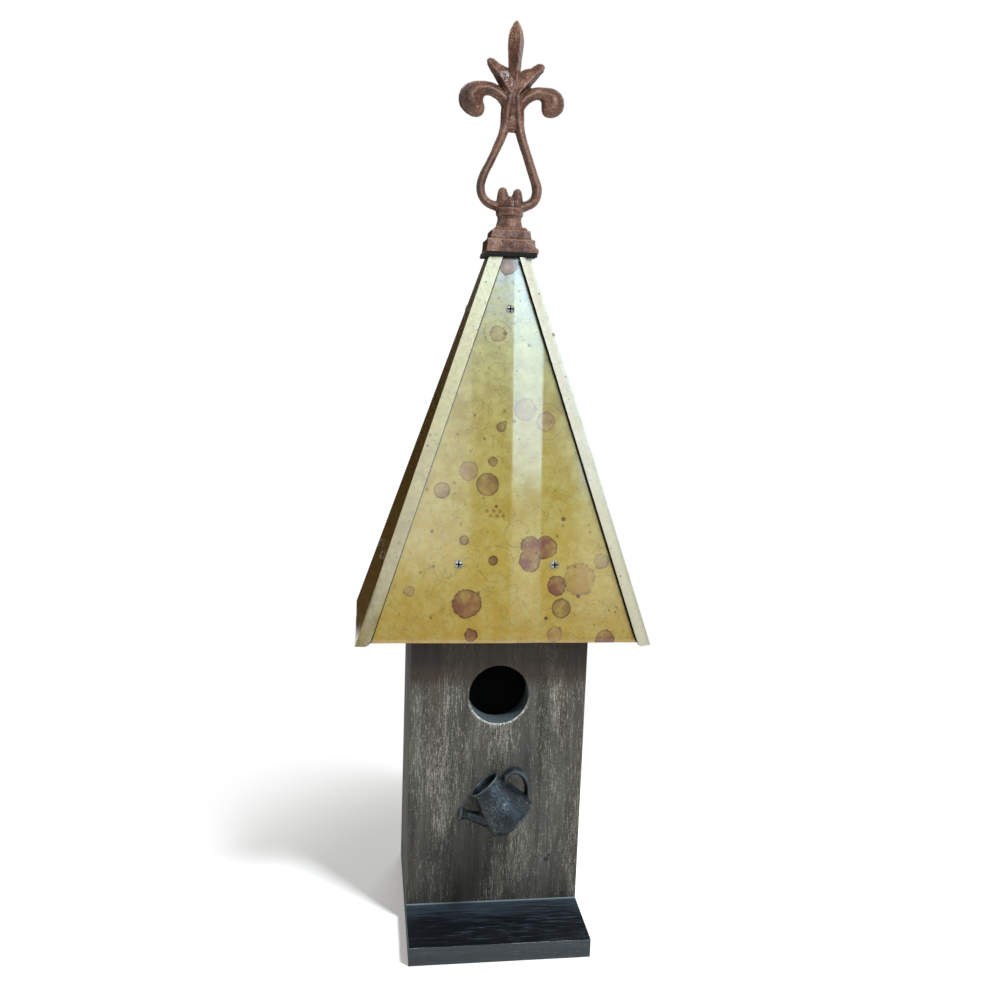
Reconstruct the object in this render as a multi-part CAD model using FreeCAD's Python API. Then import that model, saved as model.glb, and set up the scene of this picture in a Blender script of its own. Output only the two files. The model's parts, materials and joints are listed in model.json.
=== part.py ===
import FreeCAD, Part
import math
import os

# Garden birdhouse: a tall timber box on a base board that runs forward as a
# porch, under a steep four-sided brass roof with a cast iron finial.
# Units are millimetres. The origin is on the underside of the base board,
# below the middle of the box. The front faces -Y and +Z is up.

Vector = FreeCAD.Vector
X_AXIS = Vector(1, 0, 0)
Y_AXIS = Vector(0, 1, 0)
Z_AXIS = Vector(0, 0, 1)

# ---------------------------------------------------------------- box
BODY_WIDTH = 111.0
BODY_DEPTH = 89.0
BOARD = 15.0                 # thickness of the wall boards and the roof plate
BASE_THICK = 11.6
PORCH = 49.0                 # how far the base board runs out in front
WALL_TOP = 228.0             # the roof plate lies on the walls here
ENTRANCE_DIA = 38.1          # a standard 1 1/2 inch entrance
ENTRANCE_Z = 151.4
DRAIN_DIA = 5.0
VENT_DIA = 8.0
VENT_Z = 214.0
DRAIN_PLACES = [(x, y) for x in (-30.0, 30.0) for y in (-20.0, 20.0)]
VENT_PLACES = (-11.0, 11.0)  # along the side walls

HALF_WIDTH = BODY_WIDTH / 2
HALF_DEPTH = BODY_DEPTH / 2
CAVITY_HALF_WIDTH = HALF_WIDTH - BOARD
CAVITY_HALF_DEPTH = HALF_DEPTH - BOARD

# ---------------------------------------------------------------- roof
ROOF_SHIFT = 1.6             # the roof sits this far to the right of the box
EAVE_Z = 186.5
ROOF_TOP_Z = 423.0
EAVE_HALF_WIDTH = 91.7
EAVE_HALF_DEPTH = 55.5
ROOF_TOP_HALF = 13.5         # the pyramid is cut off square under the finial
SHEET = 0.8
FLANGE = 8.5                 # side sheets fold this far over front and back
HEM = 6.0                    # folded edge along the front and back eaves
FLANGE_DROP = 1.4            # side sheets reach this far below the hems
POST = 22.0                  # square king post
CAP_BLOCK_Z = 378.0
SIDE_SLOPE = math.atan((EAVE_HALF_WIDTH - ROOF_TOP_HALF) / (ROOF_TOP_Z - EAVE_Z))
FRONT_SLOPE = math.atan((EAVE_HALF_DEPTH - ROOF_TOP_HALF) / (ROOF_TOP_Z - EAVE_Z))

# ---------------------------------------------------------------- fits
CLEAR = 0.05                 # radial gap round every screw, pin and nail
PIN_CLEAR = 0.05             # radial running gap of the hinge pins

# ---------------------------------------------------------------- clean-out door
DOOR_HALF_WIDTH = 30.2
DOOR_Z = (30.8, 109.2)
DOOR_GAP = 0.8
DOOR_THICK = 12.0
STOP_LIP = 4.0
DOOR_SEAT_GAP = 0.1
FINGER_NOTCH = {"radius": 7.0, "depth": 5.0, "outside": 1.5, "z": 90.0}
HINGE_X = DOOR_HALF_WIDTH + DOOR_GAP / 2
HINGE_RADIUS = 2.0
HINGE_BACK_GAP = 0.15         # between the knuckles and the wall
HINGE_Y = HALF_DEPTH + HINGE_RADIUS + HINGE_BACK_GAP
HINGE_PIN = 1.0
HINGE_PIN_HEAD = {"radius": 1.5, "height": 0.8}
KNUCKLE_RELIEF = 0.3         # the leaf's edge stays this far off the knuckles
HINGE_HEIGHT = 20.0
HINGE_LEAF = 11.5
LEAF_THICK = 1.0
HINGE_HEIGHTS = {"upper": 93.0, "lower": 47.0}
BUTTON_X = -37.5
BUTTON_Z = 70.0
BUTTON_LENGTH = 26.0
BUTTON_WIDTH = 9.0
BUTTON_THICK = 3.0
BUTTON_CLEAR = 0.08          # radial running gap of the turn button

# ---------------------------------------------------------------- perch and finial
PERCH_X = -1.0
PERCH_Z = 89.0
PERCH_Y = -61.0              # plane of the can's axis, in front of the wall
CAN_TILT = 40.0              # degrees that the can leans over to pour
CAN_LEAN = 9.0               # degrees that its mouth leans towards the wall
CAN_PROFILE = ((0, -17.6), (12.4, -17.6), (16.0, -15.0), (16.0, -12.6), (14.0, -2.0),
               (11.0, 13.3), (9.2, 13.3), (9.6, 7.4), (0, 7.4))
CAN_HANDLE = (((5.4, 8.6), (4.6, 14.4), (10.3, 19.2), (15.6, 16.6), (18.8, 9.0), (18.0, -2.0)),
              (2.0, 2.0, 2.1, 2.1, 2.1, 2.2))
CAN_SPOUT = (((1.0, -14.4), (-5.0, -13.2), (-11.0, -11.6), (-18.0, -9.5)),
             (5.6, 5.0, 3.9, 2.8))
CAN_POST_RADIUS = 4.6
ROSE_OUTLET = (-1, 0, 0.2)   # the way that the rose points
ROSE_NECK = (-18.4, 0, -9.7)
ROSE_NECK_RADIUS = 2.4
ROSE_RADIUS = 4.6
ROSE_FACE_RADIUS = 3.8
ROSE_FLARE = 5.2
ROSE_RIM = 0.6
ROSE_DOME = 0.8
SEAM = 0.2                   # neighbouring shapes of one casting overlap this much
FINIAL_X = ROOF_SHIFT

# A drop-shaped loop of two legs carries arms, prongs and a spear. All of it stands on a
# stepped foot, and every point is (x, z) above the roof's top.
FOOT_STEPS = ((16.0, 16.4, 0.0, 5.0), (14.4, 13.4, 5.0, 12.6), (11.6, 10.6, 12.6, 19.0))
FOOT_NECK = {"radius": 7.4, "length": 10.0, "z": 19.0}
FOOT_COLLAR = {"radius": 6.4, "thick": 2.2, "z": 28.0}
FINIAL_SEAT = (((0, 29.0), (0, 33.0)), (6.0, 5.6))
FINIAL_STEM = (((0.2, 100), (0, 92), (0, 82)), (8.2, 7.0, 7.2))
FINIAL_SPEAR = (((0, 104), (0, 113), (0, 124), (0, 131), (0, 137), (0, 141.2)),
                (2.6, 3.0, 5.0, 5.4, 4.2, 1.0))
FINIAL_LEG = (((6.0, 80), (7.4, 74), (12.4, 60), (16.4, 49), (17.6, 41.5), (14.6, 35), (8.0, 32)),
              (3.2, 3.2, 3.2, 3.2, 3.5, 3.5, 3.6))
FINIAL_BUD = (((3.2, 33), (4.6, 43.5)), (4.4, 3.0))
FINIAL_PRONG = (((1.5, 101), (8.5, 110.5), (14.2, 117)), (4.6, 3.6, 2.9))
FINIAL_WEB = ((1.0, 100.0), (13.2, 114.6), (11.0, 115.6), (2.0, 114.4))
FINIAL_WEB_THICK = 3.6       # the thin metal between the spear and each prong
FINIAL_ARM = (((4.0, 98.5), (11.5, 102.6), (18.5, 103.4), (25.0, 98.6), (25.5, 94.5), (23.6, 91.0)),
              (4.0, 3.8, 4.6, 7.6, 8.2, 6.4))

# ---------------------------------------------------------------- fasteners
BASE_SCREW = {"head_radius": 3.6, "shank_radius": 1.75, "length": 32.0}
BASE_SCREW_SEATS = [Vector(x, y, 0) for x in (-44.0, 44.0) for y in (-37.0, 37.0)]
BASE_SCREW_SEATS += [Vector(x, 0, 0) for x in (-48.0, 48.0)]

PLATE_SCREW = {"head_radius": 3.6, "shank_radius": 1.75, "length": 34.0}
PLATE_SCREW_SEATS = [Vector(x, y, WALL_TOP + BOARD)
                     for x in (-36.0, 36.0) for y in (-37.0, 37.0)]

POST_SCREW = {"head_radius": 4.2, "shank_radius": 2.0, "length": 45.0}
POST_SCREW_SEAT = Vector(ROOF_SHIFT, 0, WALL_TOP)

BRAD_RADIUS = 0.6
BRAD_LENGTH = 30.0
BRAD_SET = 1.5               # nail heads sit this deep and are filled over
BRAD_HEIGHTS = (45.0, 110.0, 175.0, 216.0)

ROOF_SCREW = {"head_radius": 2.7, "head_height": 1.8, "shank_radius": 1.4, "length": 13.0}
ROOF_SCREW_SPREAD = 29.8
SIDE_SCREW_SPREAD = 20.0
LOW_SCREW_Z = 235.5
TOP_SCREW_Z = 391.0

CROSS_WIDTH = 0.34           # of a screw head's radius
CROSS_REACH = 0.72
HINGE_SCREW = {"head_radius": 1.9, "head_height": 1.1, "shank_radius": 1.0, "length": 8.0}
HINGE_SCREW_REACH = 7.4      # from the pin out to the screws
HINGE_SCREW_RISE = 5.6       # the two screws of a leaf sit this far up and down

FINIAL_STUD_RADIUS = 3.0
FINIAL_STUD_Z = (CAP_BLOCK_Z - 22.0, ROOF_TOP_Z + 12.0)
PERCH_SCREW = {"head_radius": 3.6, "head_height": 2.6, "shank_radius": 2.0}
PERCH_SCREW_BITE = 9.0       # how far the screw runs into the perch's post
PERCH_WASHER = {"radius": 5.0, "thick": 1.0}
BUTTON_SCREW = {"head_radius": 3.2, "head_height": 2.0, "shank_radius": 1.75, "length": 15.0}
BUTTON_WASHER = {"radius": 3.8, "thick": 0.6}
AXIAL_GAP = 0.1              # between the knuckles of a hinge

nodes = {}


# ---------------------------------------------------------------- helpers
def box(x_range, y_range, z_range):
    size = [high - low for low, high in (x_range, y_range, z_range)]
    return Part.makeBox(*size, Vector(x_range[0], y_range[0], z_range[0]))


def cylinder(radius, length, base, direction):
    return Part.makeCylinder(radius, length, base, direction)


def fuse(shapes):
    joined = shapes[0].multiFuse(list(shapes[1:])) if len(shapes) > 1 else shapes[0]
    return joined.removeSplitter()


def prism(corners, direction):
    """A flat outline of straight edges, pushed along a vector."""
    face = Part.Face(Part.makePolygon(corners + corners[:1]))
    return face.extrude(direction)


def solid_from_corners(low, high):
    """A six-sided solid between two four-cornered outlines."""
    faces = [low[::-1], high]
    for index in range(4):
        after = (index + 1) % 4
        faces.append([low[index], low[after], high[after], high[index]])
    shell = Part.Shell([Part.Face(Part.makePolygon(f + f[:1])) for f in faces])
    return Part.Solid(shell)


def roof_half(z, front_offset, side_offset):
    """Half width and half depth of the roof at height z, moved outwards."""
    rise = z - EAVE_Z
    half_width = EAVE_HALF_WIDTH - rise * math.tan(SIDE_SLOPE)
    half_depth = EAVE_HALF_DEPTH - rise * math.tan(FRONT_SLOPE)
    half_width += side_offset / math.cos(SIDE_SLOPE)
    half_depth += front_offset / math.cos(FRONT_SLOPE)
    return half_width, half_depth


def roof_pyramid(front_offset, side_offset, z_low, z_high):
    """The cut-off pyramid with its faces offset, between two heights."""
    outlines = []
    for z in (z_low, z_high):
        w, d = roof_half(z, front_offset, side_offset)
        outlines.append([Vector(ROOF_SHIFT + sx * w, sy * d, z)
                         for sx, sy in ((-1, -1), (1, -1), (1, 1), (-1, 1))])
    return solid_from_corners(*outlines)


def keep_half(shape, axis, sign):
    """The part of a shape on one side of the roof's middle plane."""
    reach = 400.0
    ranges = [[-reach, reach], [-reach, reach], [-reach, 2 * reach]]
    middle = ROOF_SHIFT if axis == 0 else 0.0
    ranges[axis] = [middle, reach] if sign > 0 else [-reach, middle]
    return shape.common(box(*ranges))


def cross_recess(head_radius, depth, top, direction):
    """The cutter for a cross drive, at the top of a screw head."""
    width = head_radius * CROSS_WIDTH
    reach = head_radius * CROSS_REACH
    arms = fuse([box((-reach, reach), (-width / 2, width / 2), (-depth, 1.0)),
                 box((-width / 2, width / 2), (-reach, reach), (-depth, 1.0))])
    arms.Placement = FreeCAD.Placement(top, FreeCAD.Rotation(Z_AXIS, direction))
    return arms


def pan_screw(head_radius, head_height, shank_radius, length, seat, inward):
    """A domed screw whose head sits on `seat`; its shank runs `inward`."""
    outward = inward * -1
    head = cylinder(head_radius, head_height * 0.45, Vector(), Z_AXIS)
    dome = Part.makeCone(head_radius, head_radius * 0.62, head_height * 0.55,
                         Vector(0, 0, head_height * 0.45), Z_AXIS)
    shank = cylinder(shank_radius, length - shank_radius * 2, Vector(), Z_AXIS * -1)
    point = Part.makeCone(shank_radius, 0.2, shank_radius * 2,
                          Vector(0, 0, shank_radius * 2 - length), Z_AXIS * -1)
    screw = fuse([head, dome, shank, point])
    screw = screw.cut(cross_recess(head_radius, head_height * 0.6,
                                   Vector(0, 0, head_height), Z_AXIS))
    screw.Placement = FreeCAD.Placement(seat, FreeCAD.Rotation(Z_AXIS, outward))
    return screw


def flush_screw(head_radius, shank_radius, length, seat, inward):
    """A countersunk screw whose flat head is level with `seat`."""
    cone = Part.makeCone(head_radius, shank_radius, head_radius - shank_radius,
                         Vector(), Z_AXIS * -1)
    shank = cylinder(shank_radius, length - shank_radius * 2, Vector(), Z_AXIS * -1)
    point = Part.makeCone(shank_radius, 0.2, shank_radius * 2,
                          Vector(0, 0, shank_radius * 2 - length), Z_AXIS * -1)
    screw = fuse([cone, shank, point])
    screw = screw.cut(cross_recess(head_radius, 1.2, Vector(), Z_AXIS))
    screw.Placement = FreeCAD.Placement(seat, FreeCAD.Rotation(Z_AXIS, inward * -1))
    return screw


def flush_hole(head_radius, shank_radius, length, seat, inward):
    """The hole for a countersunk screw, with a small gap all round."""
    cone = Part.makeCone(head_radius + CLEAR, shank_radius + CLEAR,
                         head_radius - shank_radius, seat, inward)
    return fuse([cone, cylinder(shank_radius + CLEAR, length + CLEAR, seat, inward)])


def round_hole(radius, length, seat, inward):
    """A plain hole with a small gap round a screw or a nail."""
    return cylinder(radius + CLEAR, length + CLEAR, seat, inward)


def limb(points, radii, depth_scale=1.0):
    """A round tapering limb in the XZ plane through a few points.

    `depth_scale` thins or thickens it along Y.
    """
    pieces = []
    for (x, z), radius in zip(points, radii):
        pieces.append(Part.makeSphere(radius, Vector(x, 0, z)))
    spans = list(zip(points[:-1], points[1:], radii[:-1], radii[1:]))
    for (x0, z0), (x1, z1), r0, r1 in spans:
        start = Vector(x0, 0, z0)
        run = Vector(x1, 0, z1) - start
        pieces.append(taper(r0, r1, run.Length, start, run))
    joined = fuse(pieces)
    if depth_scale != 1.0:
        matrix = FreeCAD.Matrix()
        matrix.scale(Vector(1.0, depth_scale, 1.0))
        joined = joined.transformGeometry(matrix)
    return joined


def taper(r0, r1, length, base, direction):
    """A cone between two radii, or a cylinder where they are equal."""
    if abs(r0 - r1) < 1e-6:
        return cylinder(r0, length, base, direction)
    return Part.makeCone(r0, r1, length, base, direction)


def flat_limb(points, half_widths, half_depth):
    """A flat strap in the XZ plane with round ends and joints."""
    pieces = []
    low = Vector(0, -half_depth, 0)
    for (x, z), half in zip(points, half_widths):
        pieces.append(cylinder(half, 2 * half_depth, Vector(x, 0, z) + low, Y_AXIS))
    spans = list(zip(points[:-1], points[1:], half_widths[:-1], half_widths[1:]))
    for (x0, z0), (x1, z1), h0, h1 in spans:
        run = math.hypot(x1 - x0, z1 - z0)
        nx, nz = -(z1 - z0) / run, (x1 - x0) / run
        corners = [Vector(x0 + nx * h0, 0, z0 + nz * h0) + low,
                   Vector(x1 + nx * h1, 0, z1 + nz * h1) + low,
                   Vector(x1 - nx * h1, 0, z1 - nz * h1) + low,
                   Vector(x0 - nx * h0, 0, z0 - nz * h0) + low]
        pieces.append(prism(corners, Vector(0, 2 * half_depth, 0)))
    return fuse(pieces)


# ---------------------------------------------------------------- fastener places
def brad_starts(sign):
    """Where the nails start, in the front (-1) or the back (+1) wall."""
    y = sign * (HALF_DEPTH - BRAD_SET)
    return [Vector(side * (HALF_WIDTH - BOARD / 2), y, z)
            for side in (-1, 1) for z in BRAD_HEIGHTS]


def roof_screw_seats():
    """Seat and inward direction of each roof screw, face by face."""
    seats = []
    for sign in (-1, 1):
        inward = Vector(0, -sign * math.cos(FRONT_SLOPE), -math.sin(FRONT_SLOPE))
        for x, z in ((-ROOF_SCREW_SPREAD, LOW_SCREW_Z), (ROOF_SCREW_SPREAD, LOW_SCREW_Z),
                     (0.0, TOP_SCREW_Z)):
            depth = roof_half(z, -SHEET, 0)[1]
            seats.append((Vector(ROOF_SHIFT + x, sign * depth, z), inward))
    for sign in (-1, 1):
        inward = Vector(-sign * math.cos(SIDE_SLOPE), 0, -math.sin(SIDE_SLOPE))
        for y, z in ((-SIDE_SCREW_SPREAD, LOW_SCREW_Z), (SIDE_SCREW_SPREAD, LOW_SCREW_Z),
                     (0.0, TOP_SCREW_Z)):
            width = roof_half(z, 0, 0)[0]
            seats.append((Vector(ROOF_SHIFT + sign * width, y, z), inward))
    return seats


def roof_screw_holes():
    """One hole per roof screw, started a little outside the sheet."""
    radius, length = ROOF_SCREW["shank_radius"], ROOF_SCREW["length"]
    lead = 1.0
    return [round_hole(radius, length + lead, seat - inward * lead, inward)
            for seat, inward in roof_screw_seats()]


# ---------------------------------------------------------------- timber box
def make_base():
    board = box((-HALF_WIDTH, HALF_WIDTH), (-HALF_DEPTH - PORCH, HALF_DEPTH), (0, BASE_THICK))
    cutters = [flush_hole(seat=seat, inward=Z_AXIS, **BASE_SCREW) for seat in BASE_SCREW_SEATS]
    for x, y in DRAIN_PLACES:
        cutters.append(cylinder(DRAIN_DIA / 2, BASE_THICK + 2, Vector(x, y, -1), Z_AXIS))
    nodes["base_board"] = board.cut(fuse(cutters))
    nodes["base_screws"] = Part.makeCompound(
        [flush_screw(seat=seat, inward=Z_AXIS, **BASE_SCREW) for seat in BASE_SCREW_SEATS])


def timber_cutters():
    """Every screw and nail hole that runs into the walls."""
    cutters = [round_hole(BASE_SCREW["shank_radius"], BASE_SCREW["length"], seat, Z_AXIS)
               for seat in BASE_SCREW_SEATS]
    cutters += [round_hole(PLATE_SCREW["shank_radius"], PLATE_SCREW["length"], seat, Z_AXIS * -1)
                for seat in PLATE_SCREW_SEATS]
    for sign in (-1, 1):
        inward = Y_AXIS * -sign
        cutters += [round_hole(BRAD_RADIUS, BRAD_LENGTH, start + inward * -CLEAR, inward)
                    for start in brad_starts(sign)]
    return cutters


def make_walls():
    cutters = fuse(timber_cutters())
    z_range = (BASE_THICK, WALL_TOP)

    front = box((-HALF_WIDTH, HALF_WIDTH), (-HALF_DEPTH, -CAVITY_HALF_DEPTH), z_range)
    entrance = cylinder(ENTRANCE_DIA / 2, BOARD + 2,
                        Vector(0, -HALF_DEPTH - 1, ENTRANCE_Z), Y_AXIS)
    perch_hole = round_hole(PERCH_SCREW["shank_radius"], BOARD + 2,
                            Vector(PERCH_X, -HALF_DEPTH - 1, PERCH_Z), Y_AXIS)
    nodes["front_wall"] = front.cut(fuse([cutters, entrance, perch_hole]))

    back = box((-HALF_WIDTH, HALF_WIDTH), (CAVITY_HALF_DEPTH, HALF_DEPTH), z_range)
    rebate_half = DOOR_HALF_WIDTH + DOOR_GAP
    rebate_z = (DOOR_Z[0] - DOOR_GAP, DOOR_Z[1] + DOOR_GAP)
    rebate = box((-rebate_half, rebate_half), (HALF_DEPTH - DOOR_THICK, HALF_DEPTH + 1), rebate_z)
    opening_half = rebate_half - STOP_LIP
    opening = box((-opening_half, opening_half), (CAVITY_HALF_DEPTH - 1, HALF_DEPTH),
                  (rebate_z[0] + STOP_LIP, rebate_z[1] - STOP_LIP))
    hardware = [round_hole(BUTTON_SCREW["shank_radius"], 12.0,
                           Vector(BUTTON_X, HALF_DEPTH + 1, BUTTON_Z), Y_AXIS * -1)]
    for seat in hinge_screw_seats(1):
        hardware.append(round_hole(HINGE_SCREW["shank_radius"], 9.0, seat + Y_AXIS, Y_AXIS * -1))
    nodes["back_wall"] = back.cut(fuse([cutters, rebate, opening] + hardware))

    for name, sign in (("left_wall", -1), ("right_wall", 1)):
        x_range = sorted((sign * CAVITY_HALF_WIDTH, sign * HALF_WIDTH))
        wall = box(x_range, (-CAVITY_HALF_DEPTH, CAVITY_HALF_DEPTH), z_range)
        vents = [cylinder(VENT_DIA / 2, BOARD + 2,
                          Vector(sign * (CAVITY_HALF_WIDTH - 1), y, VENT_Z), X_AXIS * sign)
                 for y in VENT_PLACES]
        nodes[name] = wall.cut(fuse([cutters] + vents))

    brads = []
    for sign in (-1, 1):
        for start in brad_starts(sign):
            shank = cylinder(BRAD_RADIUS, BRAD_LENGTH - 1.0, start, Y_AXIS * -sign)
            tip = Part.makeCone(BRAD_RADIUS, 0.15, 1.0,
                                start + Y_AXIS * (-sign * (BRAD_LENGTH - 1.0)), Y_AXIS * -sign)
            brads.append(fuse([shank, tip]))
    nodes["wall_brads"] = Part.makeCompound(brads)


# ---------------------------------------------------------------- roof
def make_roof_frame():
    holes = fuse(roof_screw_holes())
    top = WALL_TOP + BOARD

    plate = roof_pyramid(-2 * SHEET, -SHEET, WALL_TOP, top)
    cutters = [flush_hole(seat=seat, inward=Z_AXIS * -1, **PLATE_SCREW)
               for seat in PLATE_SCREW_SEATS]
    cutters.append(flush_hole(seat=POST_SCREW_SEAT, inward=Z_AXIS, **POST_SCREW))
    nodes["roof_plate"] = plate.cut(fuse(cutters + [holes]))
    nodes["plate_screws"] = Part.makeCompound(
        [flush_screw(seat=seat, inward=Z_AXIS * -1, **PLATE_SCREW) for seat in PLATE_SCREW_SEATS])

    half = POST / 2
    post = box((ROOF_SHIFT - half, ROOF_SHIFT + half), (-half, half), (top, CAP_BLOCK_Z))
    post = post.cut(round_hole(POST_SCREW["shank_radius"], POST_SCREW["length"],
                               POST_SCREW_SEAT, Z_AXIS))
    nodes["king_post"] = post.cut(stud_hole())
    nodes["post_screw"] = flush_screw(seat=POST_SCREW_SEAT, inward=Z_AXIS, **POST_SCREW)

    cap = roof_pyramid(-2 * SHEET, -SHEET, CAP_BLOCK_Z, ROOF_TOP_Z)
    nodes["cap_block"] = cap.cut(fuse([stud_hole(), holes]))


def make_roof_sheets():
    holes = fuse(roof_screw_holes())
    eave = EAVE_Z + FLANGE_DROP

    sheet = roof_pyramid(-SHEET, -SHEET, eave, ROOF_TOP_Z)
    sheet = sheet.cut(roof_pyramid(-2 * SHEET, -SHEET, eave - 1, ROOF_TOP_Z + 1))
    hem = roof_pyramid(-2 * SHEET, -2 * SHEET, eave, eave + HEM)
    hem = hem.cut(roof_pyramid(-3 * SHEET, 0, eave - 1, ROOF_TOP_Z))
    sheet = fuse([sheet, hem]).cut(holes)
    nodes["roof_front_panel"] = keep_half(sheet, 1, -1)
    nodes["roof_back_panel"] = keep_half(sheet, 1, 1)

    skin = roof_pyramid(0, 0, EAVE_Z, ROOF_TOP_Z)
    skin = skin.cut(roof_pyramid(-SHEET, -SHEET, EAVE_Z - 1, ROOF_TOP_Z + 1))
    skin = skin.cut(roof_pyramid(5 * SHEET, -FLANGE, EAVE_Z - 1, ROOF_TOP_Z + 1))
    skin = skin.cut(holes)
    nodes["roof_left_panel"] = keep_half(skin, 0, -1)
    nodes["roof_right_panel"] = keep_half(skin, 0, 1)

    nodes["roof_screws"] = Part.makeCompound(
        [pan_screw(seat=seat, inward=inward, **ROOF_SCREW)
         for seat, inward in roof_screw_seats()])


# ---------------------------------------------------------------- finial
def stud_hole():
    low, high = FINIAL_STUD_Z
    return cylinder(FINIAL_STUD_RADIUS + CLEAR, high - low + 2 * CLEAR,
                    Vector(FINIAL_X, 0, low - CLEAR), Z_AXIS)


def make_finial():
    foot = []
    for half_low, half_high, z_low, z_high in FOOT_STEPS:
        outlines = [[Vector(sx * half, sy * half, z)
                     for sx, sy in ((-1, -1), (1, -1), (1, 1), (-1, 1))]
                    for half, z in ((half_low, z_low), (half_high, z_high))]
        foot.append(solid_from_corners(*outlines))
    foot.append(cylinder(FOOT_NECK["radius"], FOOT_NECK["length"],
                         Vector(0, 0, FOOT_NECK["z"]), Z_AXIS))
    foot.append(Part.makeTorus(FOOT_COLLAR["radius"], FOOT_COLLAR["thick"],
                               Vector(0, 0, FOOT_COLLAR["z"]), Z_AXIS))

    castings = [limb(*FINIAL_SEAT), limb(*FINIAL_STEM, 0.7), limb(*FINIAL_SPEAR, 0.8)]
    for side in (-1, 1):
        for points, radii in (FINIAL_LEG, FINIAL_BUD, FINIAL_PRONG, FINIAL_ARM):
            castings.append(limb([(side * x, z) for x, z in points], radii))
        corners = [Vector(side * x, -FINIAL_WEB_THICK / 2, z) for x, z in FINIAL_WEB]
        web = Part.Face(Part.makePolygon(corners + corners[:1]))
        castings.append(web.extrude(Y_AXIS * FINIAL_WEB_THICK))
    finial = fuse(foot + castings)
    finial.translate(Vector(FINIAL_X, 0, ROOF_TOP_Z))
    nodes["finial"] = finial.cut(stud_hole())
    low, high = FINIAL_STUD_Z
    nodes["finial_stud"] = cylinder(FINIAL_STUD_RADIUS, high - low,
                                    Vector(FINIAL_X, 0, low), Z_AXIS)


# ---------------------------------------------------------------- perch
def make_perch():
    """A cast watering can, tipped over to pour, on a short post."""
    outline = Part.makePolygon([Vector(r, 0, z) for r, z in CAN_PROFILE + CAN_PROFILE[:1]])
    can = Part.Face(outline).revolve(Vector(), Z_AXIS, 360)
    can.rotate(Vector(), Y_AXIS, -CAN_TILT)
    can.rotate(Vector(), X_AXIS, -CAN_LEAN)
    outlet = Vector(*ROSE_OUTLET).normalize()
    neck = Vector(*ROSE_NECK)
    flare, rim = ROSE_FLARE, ROSE_RIM
    lip = neck + outlet * (flare - SEAM)
    face = lip + outlet * rim
    rose = fuse([Part.makeCone(ROSE_NECK_RADIUS, ROSE_RADIUS, flare, neck, outlet),
                 cylinder(ROSE_RADIUS, rim, lip, outlet),
                 Part.makeCone(ROSE_RADIUS, ROSE_FACE_RADIUS, ROSE_DOME, face, outlet)])
    can = fuse([can, limb(*CAN_HANDLE), limb(*CAN_SPOUT), rose])
    can.translate(Vector(PERCH_X, PERCH_Y, PERCH_Z))
    post = cylinder(CAN_POST_RADIUS, -HALF_DEPTH - PERCH_Y,
                    Vector(PERCH_X, PERCH_Y, PERCH_Z), Y_AXIS)
    can = fuse([can, post])
    shank = PERCH_SCREW["shank_radius"]
    bite = round_hole(shank, PERCH_SCREW_BITE, Vector(PERCH_X, -HALF_DEPTH, PERCH_Z),
                      Y_AXIS * -1)
    nodes["watering_can_perch"] = can.cut(bite)

    inner_face = Vector(PERCH_X, -CAVITY_HALF_DEPTH, PERCH_Z)
    washer = cylinder(PERCH_WASHER["radius"], PERCH_WASHER["thick"], inner_face, Y_AXIS)
    nodes["perch_washer"] = washer.cut(round_hole(shank, 2.0, inner_face - Y_AXIS * 0.5, Y_AXIS))
    seat = inner_face + Y_AXIS * PERCH_WASHER["thick"]
    length = PERCH_WASHER["thick"] + BOARD + PERCH_SCREW_BITE
    nodes["perch_screw"] = pan_screw(length=length, seat=seat, inward=Y_AXIS * -1, **PERCH_SCREW)


# ---------------------------------------------------------------- door and button
def hinge_screw_seats(side):
    """Seats of the leaf screws: side +1 on the wall, -1 on the door."""
    y = HALF_DEPTH + LEAF_THICK
    return [Vector(HINGE_X + side * HINGE_SCREW_REACH, y, middle + rise)
            for middle in HINGE_HEIGHTS.values() for rise in (-HINGE_SCREW_RISE, HINGE_SCREW_RISE)]


def hinge_leaf(side, middle):
    """One leaf: the wall's has the two outer knuckles, the door's the middle."""
    half = HINGE_HEIGHT / 2
    third = HINGE_HEIGHT / 6
    if side > 0:
        spans = ((-half, -third - AXIAL_GAP), (third + AXIAL_GAP, half))
    else:
        spans = ((-third, third),)
    near, far = HINGE_RADIUS + KNUCKLE_RELIEF, HINGE_LEAF
    y_range = (HALF_DEPTH, HALF_DEPTH + LEAF_THICK)
    x_range = sorted((HINGE_X + side * near, HINGE_X + side * far))
    pieces = [box(x_range, y_range, (middle - half, middle + half))]
    for low, high in spans:
        z_range = (middle + low, middle + high)
        pieces.append(box(sorted((HINGE_X, HINGE_X + side * (near + 1.0))),
                          (HALF_DEPTH + HINGE_BACK_GAP, HALF_DEPTH + LEAF_THICK), z_range))
        pieces.append(cylinder(HINGE_RADIUS, high - low,
                               Vector(HINGE_X, HINGE_Y, middle + low), Z_AXIS))
    leaf = fuse(pieces)
    bore = cylinder(HINGE_PIN + PIN_CLEAR, HINGE_HEIGHT + 2,
                    Vector(HINGE_X, HINGE_Y, middle - half - 1), Z_AXIS)
    holes = [round_hole(HINGE_SCREW["shank_radius"], 3.0, seat + Y_AXIS, Y_AXIS * -1)
             for seat in hinge_screw_seats(side)]
    return leaf.cut(fuse([bore] + holes))


def hinge_pin(middle):
    half = HINGE_HEIGHT / 2 + AXIAL_GAP
    head, wide = HINGE_PIN_HEAD["height"], HINGE_PIN_HEAD["radius"]
    foot = Vector(HINGE_X, HINGE_Y, middle - half)
    shaft = cylinder(HINGE_PIN, 2 * half, foot, Z_AXIS)
    ends = [Part.makeCone(HINGE_PIN, wide, head, foot - Z_AXIS * head, Z_AXIS),
            Part.makeCone(wide, HINGE_PIN, head, foot + Z_AXIS * (2 * half), Z_AXIS)]
    return fuse([shaft] + ends)


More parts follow.
